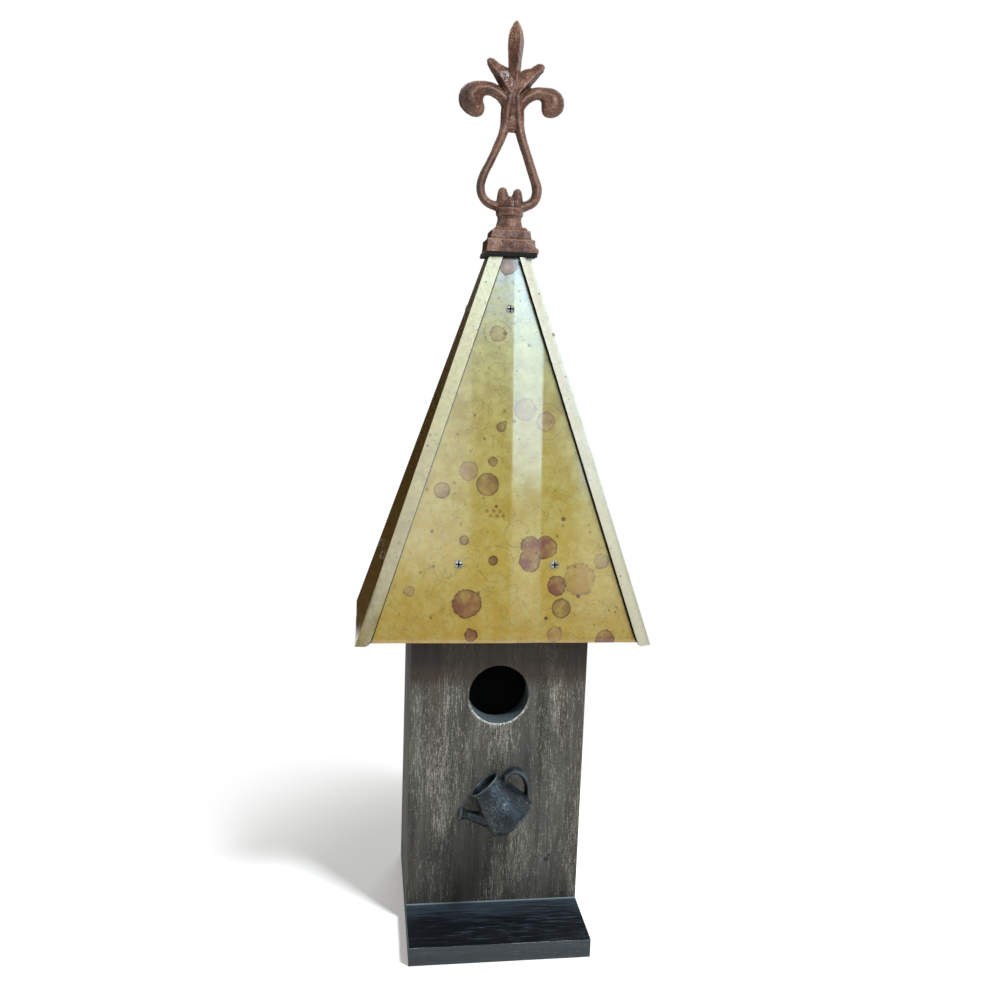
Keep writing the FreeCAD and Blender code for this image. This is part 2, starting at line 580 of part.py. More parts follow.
def make_door():
    door = box((-DOOR_HALF_WIDTH, DOOR_HALF_WIDTH),
               (HALF_DEPTH - DOOR_THICK + DOOR_SEAT_GAP, HALF_DEPTH), DOOR_Z)
    notch = cylinder(FINGER_NOTCH["radius"], FINGER_NOTCH["depth"] + 1,
                     Vector(-DOOR_HALF_WIDTH - FINGER_NOTCH["outside"],
                            HALF_DEPTH - FINGER_NOTCH["depth"], FINGER_NOTCH["z"]), Y_AXIS)
    holes = [round_hole(HINGE_SCREW["shank_radius"], 9.0, seat + Y_AXIS, Y_AXIS * -1)
             for seat in hinge_screw_seats(-1)]
    nodes["clean_out_door"] = door.cut(fuse([notch] + holes))

    for name, middle in HINGE_HEIGHTS.items():
        nodes[name + "_hinge_wall_leaf"] = hinge_leaf(1, middle)
        nodes[name + "_hinge_door_leaf"] = hinge_leaf(-1, middle)
        nodes[name + "_hinge_pin"] = hinge_pin(middle)
    for name, side in (("wall_leaf_screws", 1), ("door_leaf_screws", -1)):
        nodes[name] = Part.makeCompound(
            [pan_screw(seat=seat, inward=Y_AXIS * -1, **HINGE_SCREW)
             for seat in hinge_screw_seats(side)])


def make_turn_button():
    face = Vector(BUTTON_X, HALF_DEPTH, BUTTON_Z)
    washer = cylinder(BUTTON_WASHER["radius"], BUTTON_WASHER["thick"], face, Y_AXIS)
    screw_radius = BUTTON_SCREW["shank_radius"]
    nodes["button_washer"] = washer.cut(round_hole(screw_radius, 2.0, face - Y_AXIS * 0.5, Y_AXIS))

    low = HALF_DEPTH + BUTTON_WASHER["thick"] + AXIAL_GAP
    reach = (BUTTON_LENGTH - BUTTON_WIDTH) / 2
    button = flat_limb([(0, -reach), (0, reach)], [BUTTON_WIDTH / 2] * 2, BUTTON_THICK / 2)
    button.translate(Vector(BUTTON_X, low + BUTTON_THICK / 2, BUTTON_Z))
    bore = cylinder(screw_radius + BUTTON_CLEAR, BUTTON_THICK + 2,
                    Vector(BUTTON_X, low - 1, BUTTON_Z), Y_AXIS)
    nodes["turn_button"] = button.cut(bore)

    seat = Vector(BUTTON_X, low + BUTTON_THICK + AXIAL_GAP, BUTTON_Z)
    nodes["button_screw"] = pan_screw(seat=seat, inward=Y_AXIS * -1, **BUTTON_SCREW)


def main():
    make_base()
    make_walls()
    make_roof_frame()
    make_roof_sheets()
    make_finial()
    make_perch()
    make_door()
    make_turn_button()
    os.makedirs("parts", exist_ok=True)
    for name, shape in nodes.items():
        shape.exportStep("parts/" + name + ".step")
        print(f"{name:24s} solids {len(shape.Solids):2d}  valid {shape.isValid()}"
              f"  volume {shape.Volume:10.1f}")


main()
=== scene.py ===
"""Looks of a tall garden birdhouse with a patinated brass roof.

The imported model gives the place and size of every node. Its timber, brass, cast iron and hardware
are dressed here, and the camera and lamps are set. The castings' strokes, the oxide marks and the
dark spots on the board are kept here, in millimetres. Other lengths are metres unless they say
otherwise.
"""

import json
import logging
import math
from dataclasses import dataclass, field
from enum import Enum
from typing import Any, Callable, Iterable, Sequence

import bmesh
import bpy
from mathutils import Matrix, Vector, noise

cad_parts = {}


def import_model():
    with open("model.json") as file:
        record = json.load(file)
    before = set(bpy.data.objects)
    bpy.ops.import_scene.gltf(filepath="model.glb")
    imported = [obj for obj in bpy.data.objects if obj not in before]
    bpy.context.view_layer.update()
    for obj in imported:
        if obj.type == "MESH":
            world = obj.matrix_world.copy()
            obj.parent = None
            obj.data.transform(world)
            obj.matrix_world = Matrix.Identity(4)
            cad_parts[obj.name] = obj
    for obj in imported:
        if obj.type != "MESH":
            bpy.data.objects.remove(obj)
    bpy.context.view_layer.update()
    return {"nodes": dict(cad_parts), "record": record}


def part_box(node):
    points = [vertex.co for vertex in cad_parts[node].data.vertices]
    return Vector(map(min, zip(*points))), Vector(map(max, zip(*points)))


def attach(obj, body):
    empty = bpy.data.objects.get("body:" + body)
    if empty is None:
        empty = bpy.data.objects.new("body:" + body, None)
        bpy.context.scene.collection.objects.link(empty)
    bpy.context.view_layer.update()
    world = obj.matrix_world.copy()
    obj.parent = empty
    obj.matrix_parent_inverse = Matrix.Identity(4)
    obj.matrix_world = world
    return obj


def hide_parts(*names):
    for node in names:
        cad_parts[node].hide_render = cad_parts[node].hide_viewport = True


LOG = logging.getLogger("birdhouse")
MM = 0.001
Colour = tuple[float, float, float, float]
Point = tuple[float, float, float]
Spot = tuple[float, float, float]       # x, z and radius in millimetres
Tree = bpy.types.NodeTree
Socket = bpy.types.NodeSocket


# ------------------------------------------------------------------ helpers
def linear(hex_colour: str) -> Colour:
    """Turn an sRGB hex colour into a linear colour with full alpha.

    Args:
        hex_colour: Six hex digits after a hash sign.

    Returns:
        Red, green, blue and alpha, each from 0 to 1.
    """
    channels = [int(hex_colour[i:i + 2], 16) / 255 for i in (1, 3, 5)]
    red, green, blue = (c / 12.92 if c <= 0.04045 else ((c + 0.055) / 1.055) ** 2.4
                        for c in channels)
    return red, green, blue, 1.0


def smooth_ramp(value: float, low: float, high: float) -> float:
    """Ease from 0 to 1 as a value goes from low to high.

    Args:
        value: Where to look.
        low: The value that gives 0.
        high: The value that gives 1.

    Returns:
        A number from 0 to 1.
    """
    t = min(1.0, max(0.0, (value - low) / (high - low)))
    return t * t * (3 - 2 * t)


def add_node(tree: Tree, kind: str, settings: dict[str, Any] | None = None,
             inputs: dict[int | str, Any] | None = None) -> bpy.types.Node:
    """Add a shader node with its settings, input values and links.

    Args:
        tree: The material's node tree.
        kind: The node's type name.
        settings: Properties of the node by name.
        inputs: For each input, a socket to link from or a value to set.

    Returns:
        The new node.
    """
    node = tree.nodes.new(kind)
    for name, value in (settings or {}).items():
        setattr(node, name, value)
    for key, value in (inputs or {}).items():
        if isinstance(value, Socket):
            tree.links.new(value, node.inputs[key])
        else:
            node.inputs[key].default_value = value
    return node


def start_material(name: str) -> tuple[bpy.types.Material, Tree, Socket]:
    """Start an empty node material.

    Args:
        name: The material's name.

    Returns:
        The material, its empty node tree and its Object coordinates.
    """
    material = bpy.data.materials.new(name)
    material.use_nodes = True
    tree = material.node_tree
    tree.nodes.clear()
    return material, tree, add_node(tree, "ShaderNodeTexCoord").outputs["Object"]


def front_distance(tree: Tree, coords: Socket, x: float, z: float) -> Socket:
    """Measure the distance from a point, as seen square on from the front.

    Args:
        tree: The material's node tree.
        coords: The coordinates.
        x: The point's place across, in millimetres.
        z: The point's height in millimetres.

    Returns:
        The distance in metres.
    """
    flat = add_node(tree, "ShaderNodeVectorMath", {"operation": "MULTIPLY"},
                    {0: coords, 1: (1.0, 0.0, 1.0)})
    away = add_node(tree, "ShaderNodeVectorMath", {"operation": "DISTANCE"},
                    {0: flat.outputs[0], 1: (x * MM, 0.0, z * MM)})
    return away.outputs["Value"]


def set_ramp(node: bpy.types.Node, stops: Sequence[tuple[float, str]]) -> None:
    """Give a colour ramp its stops.

    Args:
        node: The colour ramp.
        stops: Positions from 0 to 1 with their hex colours.
    """
    elements = node.color_ramp.elements
    while len(elements) < len(stops):
        elements.new(1.0)
    for element, (position, colour) in zip(elements, stops):
        element.position = position
        element.color = linear(colour)


def new_object(name: str, mesh: bpy.types.Mesh) -> bpy.types.Object:
    """Put a mesh in the scene as an object at the origin.

    Args:
        name: The object's name.
        mesh: Its mesh, in the object's final place.

    Returns:
        The new object.
    """
    piece = bpy.data.objects.new(name, mesh)
    bpy.context.scene.collection.objects.link(piece)
    return piece


def finish_mesh(name: str, bm: bmesh.types.BMesh, smooth: bool = True) -> bpy.types.Object:
    """Turn a bmesh into a named object and free it.

    Args:
        name: The object's name.
        bm: The shape, in the row's frame.
        smooth: Whether faces are shaded smooth.

    Returns:
        The new object.
    """
    mesh = bpy.data.meshes.new(name)
    bm.to_mesh(mesh)
    bm.free()
    mesh.polygons.foreach_set("use_smooth", [smooth] * len(mesh.polygons))
    return new_object(name, mesh)


def apply_modifiers(piece: bpy.types.Object) -> None:
    """Bake a piece's modifiers into its mesh.

    Args:
        piece: The piece, which is left with no modifiers.
    """
    bpy.context.view_layer.update()
    graph = bpy.context.evaluated_depsgraph_get()
    mesh = bpy.data.meshes.new_from_object(piece.evaluated_get(graph))
    piece.modifiers.clear()
    piece.data = mesh


def dress(piece: bpy.types.Object, material: bpy.types.Material) -> None:
    """Give the whole piece one material."""
    piece.data.materials.clear()
    piece.data.materials.append(material)


def place(piece: bpy.types.Object, body: str, nodes: Iterable[str]) -> None:
    """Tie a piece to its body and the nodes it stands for.

    Args:
        piece: The finished piece.
        body: The body that it moves with.
        nodes: The construction nodes that it replaces.
    """
    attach(piece, body)
    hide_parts(*nodes)
    LOG.info("%s: %d faces on %s", piece.name, len(piece.data.polygons), body)


def softened(node: str, width: float, segments: int = 2) -> bpy.types.Object:
    """Copy a construction node and round its edges.

    Args:
        node: The node's name.
        width: The bevel's width.
        segments: How many facets make the round.

    Returns:
        The copy, in the node's place.
    """
    bm = bmesh.new()
    bm.from_mesh(FRAME["nodes"][node].data)
    bmesh.ops.remove_doubles(bm, verts=bm.verts, dist=1e-6)
    bmesh.ops.dissolve_limit(bm, angle_limit=math.radians(1.0), verts=bm.verts, edges=bm.edges)
    sharp = [e for e in bm.edges if e.is_manifold and e.calc_face_angle(0.0) > math.radians(35)]
    bmesh.ops.bevel(bm, geom=sharp, offset=width, offset_type="OFFSET", segments=segments,
                    profile=0.5, affect="EDGES", clamp_overlap=True, material=-1)
    piece = finish_mesh(node + "_finished", bm)
    piece.data.set_sharp_from_angle(angle=math.radians(40))
    return piece


# ------------------------------------------------------------------ finishes
class Grain(Enum):
    """How much pattern there is along each axis: little along the fibres."""

    ALONG_X = (0.02, 1.0, 1.0)
    ALONG_Z = (1.0, 1.0, 0.055)


class Mark(Enum):
    """A kind of oxide mark: colour, rim colour, strength, waver (mm) and line width (mm).

    A line width of 0 is a filled spot, and any other width is a ring.
    """

    def __init__(self, fill: str, rim: str, strength: float, waver: float,
                 line: float) -> None:
        """Name the parts of the kind's value."""
        self.fill, self.rim, self.strength = fill, rim, strength
        self.waver, self.line = waver * MM, line * MM

    DARK_DISC = ("#65400f", "#3a230a", 0.84, 0.9, 0.0)
    PALE_DISC = ("#755a22", "#563d16", 0.62, 0.9, 0.0)
    MAUVE_BLOT = ("#6a3a24", "#3a1f0c", 0.88, 4.2, 0.0)
    FAINT_BLOT = ("#7d5a40", "#5a3a24", 0.60, 4.2, 0.0)
    CRYSTAL = ("#7d5519", "#533611", 0.50, 9.0, 0.0)
    BROWN_RING = ("#6d4c21", "#6d4c21", 0.60, 5.0, 0.50)
    PALE_RING = ("#5f5a26", "#5f5a26", 0.50, 3.0, 0.50)


@dataclass(frozen=True)
class Strewing:
    """How one kind of spot is strewn by the finish itself.

    `spacing` is the mean distance between spots in millimetres, `rarity` is how few
    of them come near the largest size, and `largest` is that size's radius as a part
    of the spacing.
    """

    spacing: float
    rarity: float
    largest: float


@dataclass(frozen=True)
class FoldLine:
    """The edge of the side sheets' folds on the sheet below, in metres.

    It lies where the distance from the middle, plus the slope times the height,
    comes to the reach.
    """

    middle: float
    slope: float
    reach: float


# The pinhead spots that every sheet has.
FINE_SPOTS = Strewing(4.2, 5.0, 0.42)


@dataclass(frozen=True)
class AgedBrass:
    """Thin rolled brass, aged by hand and lacquered.

    The matt olive-gold metal is warmer at the eave. Oxide marks lie on it, and the
    smooth lacquer on top gives the soft white sheen.
    """

    name: str = "lacquered_aged_brass"
    tones: tuple[tuple[float, str], ...] = (
        (190, "#b28d3c"), (235, "#b08f36"), (280, "#9c7e25"), (330, "#8e7631"),
        (370, "#958a5c"), (410, "#a2a39a"))
    marks: dict[Mark, tuple[Spot, ...]] = field(default_factory=dict)
    strewn: dict[Mark, Strewing] = field(default_factory=lambda: {Mark.PALE_DISC: FINE_SPOTS})
    # How far the colour is mixed to pale cream, as a painted sheen.
    painted_sheen: float = 0.0
    joint: FoldLine | None = None
    roughness: float = 0.45
    # Each pattern's features to a metre, with the size of one feature.
    crawl: float = 240.0            # 4 mm, the wavering edges of the oxide
    clouds: float = 110.0           # 9 mm
    speckle: float = 700.0          # 1.4 mm
    mottling: float = 330.0         # 3 mm
    tides: float = 42.0             # 24 mm, the thin lines left where liquid dried
    grit: float = 1500.0            # 0.7 mm

    def build(self) -> bpy.types.Material:
        """Make the brass material.

        Returns:
            The node material.
        """
        material, tree, coords = start_material(self.name)
        fine = add_node(tree, "ShaderNodeTexNoise", {}, {"Vector": coords, "Scale": self.crawl,
                                                         "Detail": 4.0, "Roughness": 0.65})
        wide = add_node(tree, "ShaderNodeTexNoise", {}, {"Vector": coords, "Scale": self.clouds,
                                                         "Detail": 4.0, "Roughness": 0.6})
        colour = self._clean_metal(tree, coords, wide.outputs["Fac"])
        stained = 0.0
        kinds = list(self.marks) + [mark for mark in self.strewn if mark not in self.marks]
        for mark in kinds:
            moved = add_node(tree, "ShaderNodeVectorMath", {"operation": "MULTIPLY_ADD"}, {
                0: fine.outputs["Color"], 1: (mark.waver,) * 3, 2: coords}).outputs[0]
            distance = self._nearest(tree, moved, mark)
            colour, stained = self._lay_mark(tree, mark, distance, colour, stained,
                                             wide.outputs["Fac"])
        # A thin line of painted shade along the edge of the side sheets' folds.
        if self.joint:
            colour = self._paint_joint_shade(tree, coords, colour)
        grain = add_node(tree, "ShaderNodeTexNoise", {}, {"Vector": coords, "Scale": self.grit,
                                                          "Detail": 2.0})
        bump = add_node(tree, "ShaderNodeBump", {}, {"Strength": 0.15, "Distance": 0.0002,
                                                     "Height": grain.outputs["Fac"]})
        metal = add_node(tree, "ShaderNodeMapRange", {}, {0: stained, 3: 0.9, 4: 0.45})
        rough = add_node(tree, "ShaderNodeMapRange", {}, {
            0: fine.outputs["Fac"], 1: 0.3, 2: 0.7, 3: self.roughness - 0.06,
            4: self.roughness + 0.06})
        shader = add_node(tree, "ShaderNodeBsdfPrincipled", {}, {
            "Base Color": colour, "Metallic": metal.outputs[0], "Roughness": rough.outputs[0],
            "Normal": bump.outputs[0], "Coat Weight": 1.0, "Coat Roughness": 0.13,
            "Coat IOR": 1.75})
        add_node(tree, "ShaderNodeOutputMaterial", {}, {"Surface": shader.outputs[0]})
        return material

    def _paint_joint_shade(self, tree: Tree, coords: Socket, colour: Socket) -> Socket:
        """Blacken the sheet along the edge of the folds: painted shade where the folds meet the
        sheet.

        Args:
            tree: The material's node tree.
            coords: The coordinates.
            colour: The colour so far.

        Returns:
            The colour with the painted shade along the folds' edge.
        """
        reach = self.joint.reach
        axes = add_node(tree, "ShaderNodeSeparateXYZ", {}, {0: coords})
        off = add_node(tree, "ShaderNodeMath", {"operation": "SUBTRACT"}, {
            0: axes.outputs["X"], 1: self.joint.middle})
        away = add_node(tree, "ShaderNodeMath", {"operation": "ABSOLUTE"}, {0: off.outputs[0]})
        along = add_node(tree, "ShaderNodeMath", {"operation": "MULTIPLY_ADD"}, {
            0: axes.outputs["Z"], 1: self.joint.slope, 2: away.outputs[0]})
        painted_shade = add_node(tree, "ShaderNodeMapRange", {}, {
            0: along.outputs[0], 1: reach - 1.0 * MM, 2: reach - 0.5 * MM, 3: 0.0, 4: 0.95})
        return add_node(tree, "ShaderNodeMix", {"data_type": "RGBA"}, {
            0: painted_shade.outputs[0], 6: colour, 7: linear("#0f0a05")}).outputs[2]

    def _clean_metal(self, tree: Tree, coords: Socket, cloud: Socket) -> Socket:
        """Colour the clean metal: tones by height, clouded, flecked and mottled.

        Args:
            tree: The material's node tree.
            coords: The coordinates.
            cloud: A wide noise that lightens the metal in clouds.

        Returns:
            The colour under the marks.
        """
        height = add_node(tree, "ShaderNodeSeparateXYZ", {}, {0: coords}).outputs["Z"]
        low, high = self.tones[0][0], self.tones[-1][0]
        level = add_node(tree, "ShaderNodeMapRange", {}, {0: height, 1: low * MM,
                                                          2: high * MM})
        ramp = add_node(tree, "ShaderNodeValToRGB", {}, {0: level.outputs[0]})
        set_ramp(ramp, [((z - low) / (high - low), tone) for z, tone in self.tones])
        shade = add_node(tree, "ShaderNodeMapRange", {}, {0: cloud, 1: 0.38, 2: 0.62,
                                                          3: 0.0, 4: 0.42})
        clouded = add_node(tree, "ShaderNodeMix", {"data_type": "RGBA"}, {
            0: shade.outputs[0], 6: ramp.outputs[0], 7: linear("#bbab66")})
        speck = add_node(tree, "ShaderNodeTexNoise", {}, {"Vector": coords, "Scale": self.speckle,
                                                          "Detail": 3.0})
        fleck = add_node(tree, "ShaderNodeMapRange", {}, {
            0: speck.outputs["Fac"], 1: 0.60, 2: 0.74, 3: 0.0, 4: 0.5})
        flecked = add_node(tree, "ShaderNodeMix", {"data_type": "RGBA"}, {
            0: fleck.outputs[0], 6: clouded.outputs[2], 7: linear("#6d5c2c")})
        mottle = add_node(tree, "ShaderNodeTexNoise", {}, {
            "Vector": coords, "Scale": self.mottling, "Detail": 5.0, "Roughness": 0.75})
        dull = add_node(tree, "ShaderNodeMapRange", {}, {
            0: mottle.outputs["Fac"], 1: 0.48, 2: 0.66, 3: 0.0, 4: 0.45})
        mottled = add_node(tree, "ShaderNodeMix", {"data_type": "RGBA"}, {
            0: dull.outputs[0], 6: flecked.outputs[2], 7: linear("#857a3e")})
        tide = add_node(tree, "ShaderNodeTexNoise", {}, {
            "Vector": coords, "Scale": self.tides, "Detail": 5.0, "Roughness": 0.6})
        level = add_node(tree, "ShaderNodeMath", {"operation": "COMPARE"}, {
            0: tide.outputs["Fac"], 1: 0.53, 2: 0.004})
        line = add_node(tree, "ShaderNodeMath", {"operation": "MULTIPLY"}, {
            0: level.outputs[0], 1: 0.42})
        tided = add_node(tree, "ShaderNodeMix", {"data_type": "RGBA"}, {
            0: line.outputs[0], 6: mottled.outputs[2], 7: linear("#5d4c1c")})
        # A mix to pale cream: painted sheen, used on the side sheets' folds.
        sheened = add_node(tree, "ShaderNodeMix", {"data_type": "RGBA"}, {
            0: self.painted_sheen, 6: tided.outputs[2], 7: linear("#dad9c4")})
        return sheened.outputs[2]

    def _nearest(self, tree: Tree, moved: Socket, mark: Mark) -> Socket | float:
        """Measure the distance to the nearest mark of a kind.

        Args:
            tree: The material's node tree.
            moved: The wavered coordinates.
            mark: The kind of mark.

        Returns:
            The distance to its edge in metres, negative inside it.
        """
        nearest: Socket | float = 1.0
        if mark in self.strewn:
            nearest = self._strewn_spots(tree, moved, self.strewn[mark])
        flat = add_node(tree, "ShaderNodeVectorMath", {"operation": "MULTIPLY"},
                        {0: moved, 1: (1.0, 0.0, 1.0)}).outputs[0]
        drift = mark.waver / 2          # the noise that wavers the marks centres on a half
        for x, z, radius in self.marks.get(mark, ()):
            away = add_node(tree, "ShaderNodeVectorMath", {"operation": "DISTANCE"},
                            {0: flat, 1: (x * MM + drift, 0.0, z * MM + drift)})
            edge = add_node(tree, "ShaderNodeMath", {"operation": "SUBTRACT"},
                            {0: away.outputs["Value"], 1: radius * MM}).outputs[0]
            if mark.line:
                edge = add_node(tree, "ShaderNodeMath", {"operation": "ABSOLUTE"},
                                {0: edge}).outputs[0]
            nearest = add_node(tree, "ShaderNodeMath", {"operation": "MINIMUM"},
                               {0: nearest, 1: edge}).outputs[0]
        return nearest

    def _strewn_spots(self, tree: Tree, moved: Socket, strewing: Strewing) -> Socket:
        """Strew spots of mixed sizes.

        Args:
            tree: The material's node tree.
            moved: The wavered coordinates.
            strewing: How close, how rare and how large the spots are.

        Returns:
            The distance to the nearest spot in metres, negative inside it.
        """
        spacing = strewing.spacing * MM
        cells = add_node(tree, "ShaderNodeTexVoronoi", {}, {"Vector": moved,
                                                            "Scale": 1 / spacing})
        size = add_node(tree, "ShaderNodeMath", {"operation": "POWER"},
                        {0: cells.outputs["Color"], 1: strewing.rarity})
        reach = add_node(tree, "ShaderNodeMath", {"operation": "MULTIPLY"},
                         {0: size.outputs[0], 1: strewing.largest})
        gap = add_node(tree, "ShaderNodeMath", {"operation": "SUBTRACT"},
                       {0: cells.outputs["Distance"], 1: reach.outputs[0]})
        return add_node(tree, "ShaderNodeMath", {"operation": "MULTIPLY"},
                        {0: gap.outputs[0], 1: spacing}).outputs[0]

    def _lay_mark(self, tree: Tree, mark: Mark, distance: Socket | float, under: Socket,
                  stained: Socket | float, cloud: Socket) -> tuple[Socket, Socket]:
        """Lay one kind of mark over the colour.

        Args:
            tree: The material's node tree.
            mark: The kind of mark.
            distance: The distance to the nearest one's edge.
            under: The colour so far.
            stained: How stained the metal is so far.
            cloud: A wide noise that thins the marks in places.

        Returns:
            The new colour and how stained the metal is.
        """
        edge_low, edge_high = (mark.line, 0.0) if mark.line else (0.25 * MM, -0.3 * MM)
        mottled = add_node(tree, "ShaderNodeMapRange", {}, {
            0: cloud, 1: 0.40, 2: 0.62, 3: mark.strength * 1.12, 4: mark.strength * 0.55})
        fill = add_node(tree, "ShaderNodeMapRange", {}, {
            0: distance, 1: edge_low, 2: edge_high, 3: 0.0, 4: 1.0})
        amount = add_node(tree, "ShaderNodeMath", {"operation": "MULTIPLY"}, {
            0: fill.outputs[0], 1: mottled.outputs[0]}).outputs[0]
        colour = add_node(tree, "ShaderNodeMix", {"data_type": "RGBA"}, {
            0: amount, 6: under, 7: linear(mark.fill)}).outputs[2]
        if not mark.line:
            inner = add_node(tree, "ShaderNodeMapRange", {}, {0: distance, 1: -0.0013,
                                                              2: -0.0002})
            rim = add_node(tree, "ShaderNodeMath", {"operation": "MULTIPLY"}, {
                0: inner.outputs[0], 1: amount})
            colour = add_node(tree, "ShaderNodeMix", {"data_type": "RGBA"}, {
                0: rim.outputs[0], 6: colour, 7: linear(mark.rim)}).outputs[2]
        total = add_node(tree, "ShaderNodeMath", {"operation": "MAXIMUM"}, {
            0: amount, 1: stained}).outputs[0]
        return colour, total


# The large oxide marks of the front sheet as (x, z, radius) in whole millimetres, each
# within about 3 mm of a measured place. The small ones are strewn by the finish itself.
FRONT_MARKS: dict[Mark, tuple[Spot, ...]] = {
    Mark.PALE_RING: ((11, 287, 3), (41, 275, 3), (-40, 232, 3), (-6, 353, 5)),
    Mark.BROWN_RING: ((8, 254, 8), (-5, 236, 11), (-6, 376, 8), (25, 323, 11)),
    Mark.FAINT_BLOT: (
        (-23, 292, 6), (-6, 376, 5), (12, 330, 7), (25, 323, 6), (61, 238, 5),
        (32, 193, 5), (-58, 219, 3)),
    Mark.CRYSTAL: ((47, 227, 10),),
    Mark.MAUVE_BLOT: (
        (16, 247, 6), (26, 246, 7), (16, 238, 7), (33, 223, 6), (-23, 212, 9),
        (-20, 193, 4), (64, 190, 6), (0, 418, 6)),
    Mark.PALE_DISC: tuple((2 * i - 11, 268 - 3 * (i % 2), 1) for i in range(6)),
    Mark.DARK_DISC: (
        (-11, 284, 7), (-39, 280, 5), (-8, 298, 3), (-25, 250, 3), (-7, 238, 3),
        (36, 209, 6), (-3, 319, 3)),
}


@dataclass(frozen=True)
class BrushedTimber:
    """Pine board, stained and then dry-brushed with paler paint along the grain.

    The brush leaves short pale dashes on the raised fibres, thick in some patches
    and thin in others, and the stain shows between them.
    """

    name: str = "dry_brushed_pine"
    grain: Grain = Grain.ALONG_Z
    stain: tuple[str, str] = ("#2e2b26", "#4c4b46")
    brushed: str = "#a3a096"
    tint: str = "#3f3529"
    cover: float = 0.543
    fibre_mm: float = 0.48
    roughness: float = 0.8
    relief: float = 0.5
    coat: float = 0.0
    dark_spots: tuple[Spot, ...] = ()
    rubbed_and_lit_rim: Spot | None = None
    unbleached_and_shaded_from: float = 0.0
    paler_towards_wall_from: float | None = None
    chips: float = 0.5
    ior: float = 1.5
    # Each pattern's features to a metre, with the size of one feature.
    bending: float = 18.0           # 56 mm, the slow bend of the fibres
    patches: float = 44.0           # 23 mm, where the brush was full or dry
    chipping: float = 900.0         # 1.1 mm, the ragged edge of worn paint

    def build(self) -> bpy.types.Material:
        """Make the timber material.

        Returns:
            The node material.
        """
        material, tree, coords = start_material(self.name)
        bend = add_node(tree, "ShaderNodeTexNoise", {}, {"Vector": coords, "Scale": self.bending,
                                                         "Detail": 2.0})
        bent = add_node(tree, "ShaderNodeVectorMath", {"operation": "MULTIPLY_ADD"},
                        {0: bend.outputs["Color"], 1: (0.003,) * 3, 2: coords})
        along = add_node(tree, "ShaderNodeVectorMath", {"operation": "MULTIPLY"},
                         {0: bent.outputs[0], 1: self.grain.value}).outputs[0]
        scale = 1.0 / (self.fibre_mm * MM)
        strands = add_node(tree, "ShaderNodeTexNoise", {}, {
            "Vector": along, "Scale": scale, "Detail": 4.0, "Roughness": 0.65}).outputs["Fac"]
        cross = tuple(0.3 if step < 0.5 else 1.0 for step in self.grain.value)
        short = add_node(tree, "ShaderNodeVectorMath", {"operation": "MULTIPLY"},
                         {0: bent.outputs[0], 1: cross}).outputs[0]
        chips = add_node(tree, "ShaderNodeTexNoise", {}, {
            "Vector": short, "Scale": 1.25 * scale, "Detail": 4.0, "Roughness": 0.75})
        fibre = add_node(tree, "ShaderNodeMix", {"data_type": "FLOAT"}, {
            0: self.chips, 2: strands, 3: chips.outputs["Fac"]}).outputs[0]
        broad = add_node(tree, "ShaderNodeTexNoise", {}, {
            "Vector": along, "Scale": 0.14 * scale, "Detail": 3.0}).outputs["Fac"]
        ground = add_node(tree, "ShaderNodeMapRange", {}, {0: broad, 1: 0.32, 2: 0.68})
        stain = add_node(tree, "ShaderNodeMix", {"data_type": "RGBA"}, {
            0: ground.outputs[0], 6: linear(self.stain[0]), 7: linear(self.stain[1])})
        warm = add_node(tree, "ShaderNodeTexNoise", {}, {"Vector": along, "Scale": 0.05 * scale,
                                                         "Detail": 4.0}).outputs["Fac"]
        tinted = add_node(tree, "ShaderNodeMapRange", {}, {0: warm, 1: 0.50, 2: 0.70,
                                                           3: 0.0, 4: 0.6})
        stain = add_node(tree, "ShaderNodeMix", {"data_type": "RGBA"}, {
            0: tinted.outputs[0], 6: stain.outputs[2], 7: linear(self.tint)})
        patch = add_node(tree, "ShaderNodeTexNoise", {}, {
            "Vector": short, "Scale": self.patches, "Detail": 5.0,
            "Roughness": 0.6}).outputs["Fac"]
        needed = add_node(tree, "ShaderNodeMapRange", {}, {
            0: patch, 1: 0.32, 2: 0.68, 3: self.cover + 0.075, 4: self.cover - 0.035})
        over = add_node(tree, "ShaderNodeMath", {"operation": "SUBTRACT"}, {
            0: fibre, 1: needed.outputs[0]})
        dash = add_node(tree, "ShaderNodeMapRange", {}, {0: over.outputs[0], 1: -0.03,
                                                         2: 0.09, 3: 0.0, 4: 0.95})
        colour = add_node(tree, "ShaderNodeMix", {"data_type": "RGBA"}, {
            0: dash.outputs[0], 6: stain.outputs[2], 7: linear(self.brushed)}).outputs[2]
        # A brown strip under the eave: unbleached stain and painted shade of the eave's shadow.
        if self.unbleached_and_shaded_from:
            colour = self._unbleached_and_shaded_strip(tree, coords, colour)
        # The porch's top turns paler towards the wall.
        if self.paler_towards_wall_from is not None:
            colour = self._pale_towards_wall(tree, coords, strands, colour)
        # Small dark round spots, with no dent in the board's shape.
        for spot_at in self.dark_spots:
            colour = self._dark_spot(tree, coords, colour, spot_at)
        # A near-white lower rim of the entrance: worn paint and a painted highlight.
        if self.rubbed_and_lit_rim:
            colour = self._rim_wear_and_highlight(tree, coords, colour)
        bump = add_node(tree, "ShaderNodeBump", {}, {"Strength": self.relief,
                                                     "Distance": 0.0005, "Height": fibre})
        shader = add_node(tree, "ShaderNodeBsdfPrincipled", {}, {
            "Base Color": colour, "Roughness": self.roughness, "IOR": self.ior,
            "Normal": bump.outputs[0], "Coat Weight": self.coat, "Coat Roughness": 0.3})
        add_node(tree, "ShaderNodeOutputMaterial", {}, {"Surface": shader.outputs[0]})
        return material

